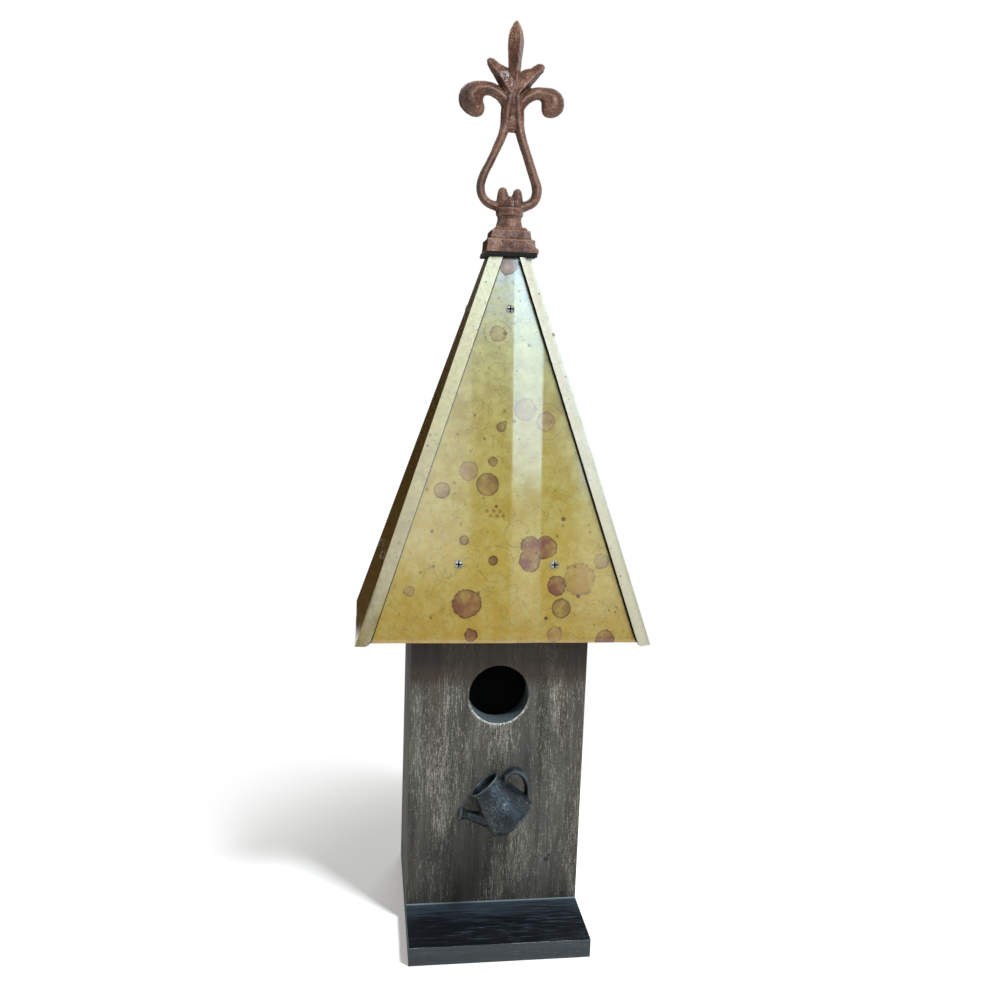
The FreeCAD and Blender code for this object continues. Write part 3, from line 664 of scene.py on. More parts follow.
    def _unbleached_and_shaded_strip(self, tree: Tree, coords: Socket, colour: Socket) -> Socket:
        """Darken the walls under the eave to brown: the unbleached stain there, and painted shade
        that follows the eave's cast shadow.

        Args:
            tree: The material's node tree.
            coords: The coordinates.
            colour: The colour so far.

        Returns:
            The colour with the strip of unbleached stain and painted eave shade.
        """
        below, above = 6.0, 5.0         # the strip's soft lower edge, in millimetres
        height = add_node(tree, "ShaderNodeSeparateXYZ", {}, {0: coords}).outputs["Z"]
        under = add_node(tree, "ShaderNodeMapRange", {"interpolation_type": "SMOOTHSTEP"}, {
            0: height, 1: (self.unbleached_and_shaded_from - below) * MM, 2: (self.unbleached_and_shaded_from + above) * MM,
            3: 0.0, 4: 0.78})
        return add_node(tree, "ShaderNodeMix", {"data_type": "RGBA"}, {
            0: under.outputs[0], 6: colour, 7: linear("#2a1c0d")}).outputs[2]

    def _pale_towards_wall(self, tree: Tree, coords: Socket, strands: Socket, colour: Socket) -> Socket:
        """Pale the porch in streaks towards the wall, thickening to a pale line at the wall's foot.

        Args:
            tree: The material's node tree.
            coords: The coordinates.
            strands: The noise that follows the fibres.
            colour: The colour so far.

        Returns:
            The colour, paler towards the wall.
        """
        wall = self.paler_towards_wall_from * MM
        waver = 0.090                   # how far the fibres push the pale streaks about, in metres
        start = wall + waver / 2
        depth = add_node(tree, "ShaderNodeSeparateXYZ", {}, {0: coords}).outputs["Y"]
        uneven = add_node(tree, "ShaderNodeMath", {"operation": "MULTIPLY_ADD"}, {
            0: strands, 1: waver, 2: depth}).outputs[0]
        pale_streaks = add_node(tree, "ShaderNodeMapRange", {"interpolation_type": "SMOOTHSTEP"}, {
            0: uneven, 1: start - 0.024, 2: start - 0.002, 3: 0.0, 4: 0.70})
        paled = add_node(tree, "ShaderNodeMix", {"data_type": "RGBA"}, {
            0: pale_streaks.outputs[0], 6: colour, 7: linear("#323c44")}).outputs[2]
        line = add_node(tree, "ShaderNodeMapRange", {}, {
            0: depth, 1: wall - 0.0022, 2: wall - 0.0010, 3: 0.0, 4: 0.75})
        return add_node(tree, "ShaderNodeMix", {"data_type": "RGBA"}, {
            0: line.outputs[0], 6: paled, 7: linear("#75838c")}).outputs[2]

    def _rim_wear_and_highlight(self, tree: Tree, coords: Socket, colour: Socket) -> Socket:
        """Pale the paint along the lower rim of a hole: worn paint, and a painted highlight where
        the light from above falls on the rim.

        Args:
            tree: The material's node tree.
            coords: The coordinates.
            colour: The colour so far.

        Returns:
            The colour with the worn rim and its painted highlight.
        """
        x, z, radius = self.rubbed_and_lit_rim
        none_at, full_at = 5.6, 3.4     # beyond the hole's edge, in millimetres
        ragged_by = 0.0085              # how far the chips push the edge about, in metres
        height = add_node(tree, "ShaderNodeSeparateXYZ", {}, {0: coords}).outputs["Z"]
        chips = add_node(tree, "ShaderNodeTexNoise", {}, {
            "Vector": coords, "Scale": self.chipping, "Detail": 5.0, "Roughness": 0.7})
        ragged = add_node(tree, "ShaderNodeMath", {"operation": "MULTIPLY_ADD"}, {
            0: chips.outputs["Fac"], 1: ragged_by, 2: front_distance(tree, coords, x, z)})
        near = add_node(tree, "ShaderNodeMapRange", {}, {
            0: ragged.outputs[0], 1: (radius + none_at) * MM, 2: (radius + full_at) * MM})
        low = add_node(tree, "ShaderNodeMapRange", {}, {
            0: height, 1: (z - 2.0) * MM, 2: (z - 0.62 * radius) * MM})
        amount = add_node(tree, "ShaderNodeMath", {"operation": "MULTIPLY"}, {
            0: near.outputs[0], 1: low.outputs[0]})
        return add_node(tree, "ShaderNodeMix", {"data_type": "RGBA"}, {
            0: amount.outputs[0], 6: colour, 7: linear("#d9dad5")}).outputs[2]

    def _dark_spot(self, tree: Tree, coords: Socket, colour: Socket, spot_at: Spot) -> Socket:
        """Darken a small round spot on the board.

        Args:
            tree: The material's node tree.
            coords: The coordinates.
            colour: The colour so far.
            spot_at: The spot's place and radius.

        Returns:
            The colour with the dark spot.
        """
        x, z, radius = spot_at
        inside = add_node(tree, "ShaderNodeMapRange", {}, {
            0: front_distance(tree, coords, x, z), 1: radius * MM * 1.5, 2: radius * MM * 0.9,
            3: 0.0, 4: 0.95})
        return add_node(tree, "ShaderNodeMix", {"data_type": "RGBA"}, {
            0: inside.outputs[0], 6: colour, 7: linear("#23272b")}).outputs[2]


@dataclass(frozen=True)
class CastSkin:
    """Sand-cast metal with a pitted skin, its colour worn through on high spots.

    Pits and grit come from two noises, and rust or patina gathers in hollows. Sharp edges are
    paled, partly as wear and partly as a painted highlight, and ambient occlusion darkens the nooks
    to the hollows' colour as painted shade.
    """

    name: str
    hollow: str
    body: str
    worn: str
    roughness: float = 0.6
    metallic: float = 0.35
    pit_mm: float = 1.2
    relief: float = 0.5
    worn_at: float = 0.62
    coat: float = 0.0
    clouds: float = 90.0            # features to a metre, each 11 mm

    def build(self) -> bpy.types.Material:
        """Make the cast metal material.

        Returns:
            The node material.
        """
        material, tree, coords = start_material(self.name)
        grit = add_node(tree, "ShaderNodeTexNoise", {}, {
            "Vector": coords, "Scale": 1.0 / (self.pit_mm * MM), "Detail": 6.0,
            "Roughness": 0.7})
        cloud = add_node(tree, "ShaderNodeTexNoise", {}, {"Vector": coords, "Scale": self.clouds,
                                                          "Detail": 4.0})
        mixed = add_node(tree, "ShaderNodeMix", {"data_type": "FLOAT"},
                         {0: 0.4, 2: grit.outputs["Fac"], 3: cloud.outputs["Fac"]})
        ramp = add_node(tree, "ShaderNodeValToRGB", {}, {0: mixed.outputs[0]})
        set_ramp(ramp, [(0.38, self.hollow), (0.52, self.body), (self.worn_at + 0.06, self.worn)])
        # Sharp edges are paled towards the worn colour: wear and a painted highlight.
        geometry = add_node(tree, "ShaderNodeNewGeometry")
        edge = add_node(tree, "ShaderNodeMapRange", {}, {0: geometry.outputs["Pointiness"],
                                                         1: 0.505, 2: 0.57, 3: 0.0, 4: 0.65})
        worn = add_node(tree, "ShaderNodeMix", {"data_type": "RGBA"},
                        {0: edge.outputs[0], 6: ramp.outputs[0], 7: linear(self.worn)})
        # Ambient occlusion darkens the nooks to the hollows' colour: painted shade.
        occlusion = add_node(tree, "ShaderNodeAmbientOcclusion", {"samples": 4},
                        {"Distance": 8.0 * MM})
        painted_nook_shade = add_node(tree, "ShaderNodeMapRange", {}, {
            0: occlusion.outputs["AO"], 1: 0.45, 2: 0.95, 3: 0.9, 4: 0.0})
        colour = add_node(tree, "ShaderNodeMix", {"data_type": "RGBA"},
                          {0: painted_nook_shade.outputs[0], 6: worn.outputs[2], 7: linear(self.hollow)})
        rough = add_node(tree, "ShaderNodeMapRange", {}, {
            0: grit.outputs["Fac"], 1: 0.3, 2: 0.7, 3: self.roughness + 0.1,
            4: self.roughness - 0.1})
        bump = add_node(tree, "ShaderNodeBump", {}, {"Strength": self.relief,
                                                     "Distance": 0.0005,
                                                     "Height": grit.outputs["Fac"]})
        shader = add_node(tree, "ShaderNodeBsdfPrincipled", {}, {
            "Base Color": colour.outputs[2], "Metallic": self.metallic,
            "Roughness": rough.outputs[0], "Normal": bump.outputs[0],
            "Coat Weight": self.coat, "Coat Roughness": 0.16})
        add_node(tree, "ShaderNodeOutputMaterial", {}, {"Surface": shader.outputs[0]})
        return material


@dataclass(frozen=True)
class PlatedSteel:
    """Small hardware, plated and tumbled: bright metal with faint handling marks."""

    name: str
    colour: str
    dull: str
    roughness: float = 0.32
    handling: float = 420.0         # marks to a metre, each 2.4 mm

    def build(self) -> bpy.types.Material:
        """Make the plated metal material.

        Returns:
            The node material.
        """
        material, tree, coords = start_material(self.name)
        marks = add_node(tree, "ShaderNodeTexNoise", {}, {"Vector": coords, "Scale": self.handling,
                                                          "Detail": 4.0})
        ramp = add_node(tree, "ShaderNodeValToRGB", {}, {0: marks.outputs["Fac"]})
        set_ramp(ramp, [(0.38, self.dull), (0.58, self.colour)])
        rough = add_node(tree, "ShaderNodeMapRange", {}, {
            0: marks.outputs["Fac"], 3: self.roughness + 0.15, 4: self.roughness - 0.08})
        shader = add_node(tree, "ShaderNodeBsdfPrincipled", {}, {
            "Base Color": ramp.outputs[0], "Metallic": 1.0, "Roughness": rough.outputs[0]})
        add_node(tree, "ShaderNodeOutputMaterial", {}, {"Surface": shader.outputs[0]})
        return material


# ------------------------------------------------------------------ timber box
@dataclass
class TimberBox:
    """The stained box, its painted base board and the bare boards in the roof.

    The entrance and the dark spots are x, z and radius, and the strip of unbleached stain and
    painted eave shade starts at its given height; all in millimetres.
    """

    edge: float = 0.7 * MM
    walls: tuple[str, ...] = ("front_wall", "back_wall", "left_wall", "right_wall")
    bare: tuple[str, ...] = ("roof_plate", "king_post", "cap_block")
    entrance: Spot = (0.0, 151.4, 19.05)
    bore_radius: float = 19.9 * MM
    unbleached_and_shaded_at: float = 159.0
    dark_spots: tuple[Spot, ...] = ((35, 39, 1.5), (36.5, 42, 0.8))

    def build(self) -> None:
        """Round the boards' edges and dress them."""
        # The walls carry the strip of unbleached stain and painted eave shade.
        wall_finish = BrushedTimber(unbleached_and_shaded_from=self.unbleached_and_shaded_at).build()
        front_finish = BrushedTimber("dry_brushed_pine_front", dark_spots=self.dark_spots,
                                     rubbed_and_lit_rim=self.entrance,
                                     unbleached_and_shaded_from=self.unbleached_and_shaded_at).build()
        bore_finish = BrushedTimber("blue_grey_paint_in_entrance", Grain.ALONG_X,
                                    ("#2f383b", "#414b4e"), "#6d797b", "#38434a",
                                    cover=0.56, relief=0.25).build()
        worn_finish = BrushedTimber("worn_white_rim", Grain.ALONG_X, ("#4c5052", "#6c706f"),
                                    "#b4b5b0", "#4c5052", cover=0.44, relief=0.2).build()
        # Faces inside the box are painted near black: painted shade, so the entrance reads dark.
        inside = BrushedTimber("pine_inside_painted_dark_as_shade", stain=("#0f0d0b", "#1c1814"),
                               brushed="#2a2621", tint="#1a1410", cover=0.6).build()
        for node in self.walls:
            piece = softened(node, self.edge)
            dress(piece, front_finish if node == "front_wall" else wall_finish)
            piece.data.materials.append(inside)
            for polygon in piece.data.polygons:
                inwards = polygon.center.x * polygon.normal.x + polygon.center.y * polygon.normal.y
                polygon.material_index = int(inwards < -0.02)
            if node == "front_wall":
                self._paint_bore(piece, bore_finish, worn_finish)
            place(piece, "root", [node])
        base = softened("base_board", self.edge * 1.3)
        self._dress_base(base)
        place(base, "root", ["base_board"])
        pine = BrushedTimber("bare_pine", Grain.ALONG_X, ("#a9824f", "#c39b62"), "#d8b983",
                             "#b98a55", cover=0.55, fibre_mm=1.6, roughness=0.6,
                             relief=0.3).build()
        for node in self.bare:
            piece = softened(node, self.edge)
            dress(piece, pine)
            place(piece, "root", [node])

    def _paint_bore(self, piece: bpy.types.Object, paint: bpy.types.Material,
                    worn: bpy.types.Material) -> None:
        """Give the wall of the entrance its own paint and its rim the wear.

        Args:
            piece: The front wall, dressed in its first two finishes.
            paint: The finish inside the entrance.
            worn: The finish of its rim.
        """
        piece.data.materials.append(paint)
        piece.data.materials.append(worn)
        low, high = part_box("front_wall")
        bore = self._entrance_centre()
        for polygon in piece.data.polygons:
            out = Vector((polygon.center.x - bore.x, polygon.center.z - bore.z))
            if out.length > self.bore_radius or polygon.area > 4e-4:
                continue
            if low.y + self.edge < polygon.center.y < high.y - 0.0004:
                polygon.material_index = 2
            elif polygon.center.y < low.y + self.edge and abs(polygon.normal.y) < 0.999:
                polygon.material_index = 3

    def _entrance_centre(self) -> Vector:
        """Find the middle of the entrance.

        Returns:
            The middle of the record's opening, in metres.
        """
        openings = FRAME["record"]["physics"]["openings"]
        corners = next(o["box_m"] for o in openings if o["name"] == "entrance_hole")
        return (Vector(corners[0]) + Vector(corners[1])) / 2

    def _dress_base(self, base: bpy.types.Object) -> None:
        """Paint the board's top darker than its edges, and rub its arrises.

        Args:
            base: The base board.
        """
        # Its top turns paler in streaks towards the wall's foot.
        top = BrushedTimber("black_blue_enamel_on_pine", Grain.ALONG_X,
                            ("#020306", "#05080d"), "#4d5a66", "#070c14", cover=0.60,
                            fibre_mm=0.55, roughness=0.75, relief=0.3, paler_towards_wall_from=-44.5,
                            chips=0.1, ior=1.28)
        edge = BrushedTimber("slate_paint_on_pine", Grain.ALONG_X, ("#22272b", "#31363b"),
                             "#596066", "#262c31", cover=0.58, fibre_mm=0.7, roughness=0.7,
                             relief=0.3)
        worn = BrushedTimber("rubbed_arris_of_base", Grain.ALONG_X, ("#30373c", "#475057"),
                             "#98a2a8", "#2b3136", cover=0.50, fibre_mm=0.7, roughness=0.7,
                             relief=0.3)
        base.data.materials.clear()
        for finish in (top, edge, worn):
            base.data.materials.append(finish.build())
        for polygon in base.data.polygons:
            tilt = abs(polygon.normal.z)
            polygon.material_index = 2 if 0.1 < tilt < 0.98 else int(tilt < 0.7)


# ------------------------------------------------------------------ brass roof
@dataclass
class RoofSheets:
    """Four thin brass sheets; the side ones fold over the front and back ones.

    Hand-bent sheet isn't flat: shallow upright creases divide it into strips
    that lean a little left or right.
    """

    thick: float = 0.8 * MM
    flange: float = 8.5 * MM
    columns: int = 120
    rows: int = 60
    flange_lift: tuple[float, float] = (0.7 * MM, 3.4 * MM)
    out_limit: float = 0.7 * MM
    in_limit: float = 0.45 * MM
    strips: tuple[tuple[float, float], ...] = (
        (-95, 0.5), (-60, -1.1), (-23, -0.5), (2, 2.1), (21, -1.6), (55, 0.6))

    def __post_init__(self) -> None:
        """Read the roof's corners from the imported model."""
        low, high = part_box("roof_left_panel")
        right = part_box("roof_right_panel")[1]
        self.middle = (low.x + right.x) / 2
        self.eave = Vector(((right.x - low.x) / 2, high.y, low.z))
        upper = [v.co for v in FRAME["nodes"]["roof_left_panel"].data.vertices
                 if v.co.z > high.z - 0.5 * MM]
        self.top = Vector((self.middle - min(v.x for v in upper), max(v.y for v in upper),
                           high.z))
        LOG.info("roof from %s to %s about x=%.4f", self.eave, self.top, self.middle)

    def half(self, z: float) -> tuple[float, float]:
        """Measure the roof at a height.

        Args:
            z: The height in metres.

        Returns:
            The roof's outer half width and half depth in metres.
        """
        t = (z - self.eave.z) / (self.top.z - self.eave.z)
        outer = self.eave.lerp(self.top, t)
        return outer.x, outer.y

    def crease(self, x: float) -> float:
        """Return how far the front sheet stands in at a distance from its middle.

        Args:
            x: Distance from the roof's middle plane, in metres.

        Returns:
            The depth that adds up from the strips' leans, in metres.
        """
        target = x / MM
        depth = 0.0
        ends = [start for start, _ in self.strips[1:]] + [1000.0]
        for (start, lean), end in zip(self.strips, ends):
            run = min(max(target, start), end) - start
            depth += run * math.tan(math.radians(lean))
        return (depth - 0.1) * MM

    def build(self) -> None:
        """Make and dress the four sheets."""
        slope = (self.eave.x - self.top.x) / (self.top.z - self.eave.z)
        reach = self.eave.x - self.flange + slope * self.eave.z
        # The line on the front sheet where the folds' painted shade lies.
        joint = FoldLine(self.middle, slope, reach)
        freckled = {Mark.PALE_DISC: FINE_SPOTS, Mark.DARK_DISC: Strewing(10.0, 2.6, 0.2)}
        splashed = {Mark.PALE_DISC: FINE_SPOTS, Mark.MAUVE_BLOT: Strewing(26.0, 3.0, 0.42),
                    Mark.DARK_DISC: Strewing(17.0, 3.0, 0.42)}
        front = AgedBrass("lacquered_aged_brass_front", marks=FRONT_MARKS, strewn=freckled,
                          joint=joint).build()
        plain = AgedBrass("lacquered_aged_brass", strewn=splashed).build()
        for name, side in (("roof_front_panel", -1), ("roof_back_panel", 1)):
            piece = self._flat_sheet(name, side)
            dress(piece, front if side < 0 else plain)
            place(piece, "root", [name])
        # The folds' tones are painted light: the left fold shaded low and paling upwards, the right
        # fold a whitish painted sheen.
        left = ((190, "#846d3a"), (235, "#8e7743"), (280, "#9c8850"), (330, "#a69661"),
                (370, "#b5a97c"), (410, "#cbc4a4"))
        right = ((190, "#948148"), (235, "#bcab74"), (280, "#e4e0ca"), (330, "#efece0"),
                 (370, "#ebe8dc"), (410, "#e4e1d4"))
        fold_painted_light = {-1: AgedBrass("lacquered_aged_brass_left_fold_painted_light", left, painted_sheen=0.05).build(),
                 1: AgedBrass("lacquered_aged_brass_right_fold_painted_sheen", right, painted_sheen=0.60).build()}
        # Near-black painted shade on the folds' inward edges and the side sheets' inner faces.
        cut = PlatedSteel("fold_edge_painted_shade", "#17110a", "#0d0905", 0.85).build()
        for name, side in (("roof_left_panel", -1), ("roof_right_panel", 1)):
            piece = self._folded_sheet(name, side)
            dress(piece, plain)
            piece.data.materials.append(fold_painted_light[side])
            piece.data.materials.append(cut)
            for polygon in piece.data.polygons:
                if abs(polygon.normal.y) > 0.8:
                    polygon.material_index = 1
                elif polygon.normal.x * side < -0.5:
                    polygon.material_index = 2
            place(piece, "root", [name])

    def _flat_sheet(self, name: str, side: int) -> bpy.types.Object:
        """Make the front or the back sheet with its hem.

        Args:
            name: The node that it stands for.
            side: -1 for the front, 1 for the back.

        Returns:
            The sheet.
        """
        low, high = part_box(name)
        bm = bmesh.new()
        bmesh.ops.create_grid(bm, x_segments=self.columns, y_segments=self.rows, size=0.5)
        for vertex in bm.verts:
            u, v = vertex.co.x, (vertex.co.y + 0.5) ** 1.6
            z = low.z + v * (high.z - low.z)
            width, depth = self.half(z)
            x = 2 * u * (width - self.thick * 1.05)
            fade = smooth_ramp(v, 1.0, 0.96)
            wave = self.crease(x) if side < 0 else self._ripple(x, z)
            inset = min(max(-self.out_limit, wave * fade), self.in_limit)
            inset += 0.9 * MM * smooth_ramp(z, low.z + 1.6 * MM, low.z)
            vertex.co = Vector((self.middle + x, side * (depth - self.thick - inset), z))
        return self._thicken(name, bm, outward=Vector((0, side, 0)))

    def _ripple(self, x: float, z: float) -> float:
        """Return a soft random wave for a sheet that isn't creased."""
        return 0.3 * MM * noise.noise(Vector((x * 28, z * 5, 3.7)))

    def _folded_sheet(self, name: str, side: int) -> bpy.types.Object:
        """Make a side sheet with its two folded flanges.

        Args:
            name: The node that it stands for.
            side: -1 for the left, 1 for the right.

        Returns:
            The sheet.
        """
        bm = bmesh.new()
        bmesh.ops.create_grid(bm, x_segments=64, y_segments=self.rows, size=0.5)
        fold = 0.12                     # the part of the grid that makes each flange
        for vertex in bm.verts:
            u, v = vertex.co.x * 2, vertex.co.y + 0.5
            z = self.eave.z + v * (self.top.z - self.eave.z)
            width, depth = self.half(z)
            end = 1 - fold
            if abs(u) > end:
                run = (abs(u) - end) / fold
                x = width - run * self.flange
                y = depth
                if u < 0:
                    y += self.flange_lift[side > 0] * smooth_ramp(run, 0.1, 1.0)
                z += 1.4 * MM * smooth_ramp(run, 0.75, 1.0) * smooth_ramp(v, 0.03, 0.0)
            else:
                y = depth * abs(u) / end
                x = width - abs(self._ripple(y * math.copysign(1, u), z)) * smooth_ramp(
                    abs(u), end, 0.6)
            vertex.co = Vector((self.middle + side * x, math.copysign(y, u), z))
        return self._thicken(name, bm, outward=Vector((side, 0, 0)))

    def _thicken(self, name: str, bm: bmesh.types.BMesh, outward: Vector) -> bpy.types.Object:
        """Point a sheet's faces outwards and give it its gauge, inwards.

        Args:
            name: The node that it stands for.
            bm: The sheet's outer skin.
            outward: The way that it faces.

        Returns:
            The sheet.
        """
        bmesh.ops.recalc_face_normals(bm, faces=bm.faces)
        middle = min(bm.faces, key=lambda f: (f.calc_center_median() - outward).length)
        if middle.normal.dot(outward) < 0:
            bmesh.ops.reverse_faces(bm, faces=bm.faces)
        bmesh.ops.solidify(bm, geom=bm.faces[:], thickness=self.thick * 0.95)
        piece = finish_mesh(name + "_sheet", bm)
        piece.data.set_sharp_from_angle(angle=math.radians(50))
        return piece


# ------------------------------------------------------------------ castings
def eased_path(points: Sequence[tuple[float, ...]], steps: int) -> list[Vector]:
    """Run a smooth curve through points.

    Args:
        points: The points, with as many numbers each as needed.
        steps: How many pieces each span is cut into.

    Returns:
        The curve's points, the first and last ones unmoved.
    """
    known = [Vector(points[0])] + [Vector(point) for point in points] + [Vector(points[-1])]
    path = []
    for p0, p1, p2, p3 in zip(known, known[1:], known[2:], known[3:]):
        for step in range(steps):
            t = step / steps
            path.append(0.5 * (2 * p1 + (p2 - p0) * t + (2 * p0 - 5 * p1 + 4 * p2 - p3) * t * t
                               + (3 * p1 - p0 - 3 * p2 + p3) * t ** 3))
    return path + [known[-1]]


@dataclass(frozen=True)
class Limb:
    """A tapering stroke of a casting.

    Each point is x, z and radius in millimetres. `depth` scales the stroke along Y,
    `sides` of 4 gives it a sharp spine, `ridge` adds a raised line front and back,
    and `twist` turns the spine about the stroke's own line.
    """

    points: tuple[tuple[float, float, float], ...]
    depth: float = 1.0
    sides: int = 20
    ridge: float = 0.0
    twist: float = 0.0

    def add_to(self, bm: bmesh.types.BMesh) -> None:
        """Add the stroke to a shape.

        Args:
            bm: The shape, in metres.
        """
        path = eased_path(self.points, 3)
        part = bmesh.new()
        made = self._stroke(part, path, 1.0)
        bmesh.ops.scale(part, vec=(1, self.depth, 1), verts=made)
        if self.ridge:
            for side in (-1, 1):
                for vertex in self._stroke(part, path, self.ridge):
                    nearest = min(path, key=lambda point: (vertex.co.x / MM - point.x) ** 2
                                  + (vertex.co.z / MM - point.y) ** 2)
                    vertex.co.y += side * nearest.z * self.depth * 0.80 * MM
        stroke = bpy.data.meshes.new("stroke")
        part.to_mesh(stroke)
        part.free()
        bm.from_mesh(stroke)
        bpy.data.meshes.remove(stroke)

    def _stroke(self, bm: bmesh.types.BMesh, path: list[Vector],
                thickness: float) -> list[bmesh.types.BMVert]:
        """Add balls joined by cones along a path.

        Args:
            bm: The shape to add to.
            path: Points of x, z and radius in millimetres.
            thickness: What the radii are multiplied by.

        Returns:
            The new vertices.
        """
        made: list[bmesh.types.BMVert] = []
        ball = 0.66 if self.sides == 4 else 1.0
        for x, z, radius in path:
            made += bmesh.ops.create_uvsphere(
                bm, u_segments=16, v_segments=10, radius=radius * thickness * ball * MM,
                matrix=Matrix.Translation(Vector((x, 0, z)) * MM))["verts"]
        for (x0, z0, r0), (x1, z1, r1) in zip(path[:-1], path[1:]):
            start, end = Vector((x0, 0, z0)) * MM, Vector((x1, 0, z1)) * MM
            run = end - start
            turn = (Matrix.Rotation(math.atan2(run.x, run.z), 4, "Y")
                    @ Matrix.Rotation(self.twist, 4, "Z"))
            made += bmesh.ops.create_cone(
                bm, cap_ends=True, segments=self.sides, radius1=r0 * thickness * MM,
                radius2=r1 * thickness * MM, depth=run.length * 1.04,
                matrix=Matrix.Translation((start + end) / 2) @ turn)["verts"]
        return made


def cast_from(bm: bmesh.types.BMesh, name: str, voxel: float, smooth_passes: int,
              pit: Callable[[Vector], float]) -> bpy.types.Object:
    """Melt overlapping shapes into one casting with a pitted skin.

    Args:
        bm: The overlapping closed shapes.
        name: The piece's name.
        voxel: The grain of the melt.
        smooth_passes: How often the joints are eased.
        pit: How far the skin moves at a point, along its normal.

    Returns:
        The casting.
    """
    piece = finish_mesh(name, bm)
    melt = piece.modifiers.new("melt", "REMESH")
    melt.mode = "VOXEL"
    melt.voxel_size = voxel
    melt.use_smooth_shade = True
    ease = piece.modifiers.new("ease", "SMOOTH")
    ease.factor = 0.5
    ease.iterations = smooth_passes
    apply_modifiers(piece)
    normals = [v.normal.copy() for v in piece.data.vertices]
    for vertex, normal in zip(piece.data.vertices, normals):
        vertex.co += normal * pit(vertex.co)
    return piece


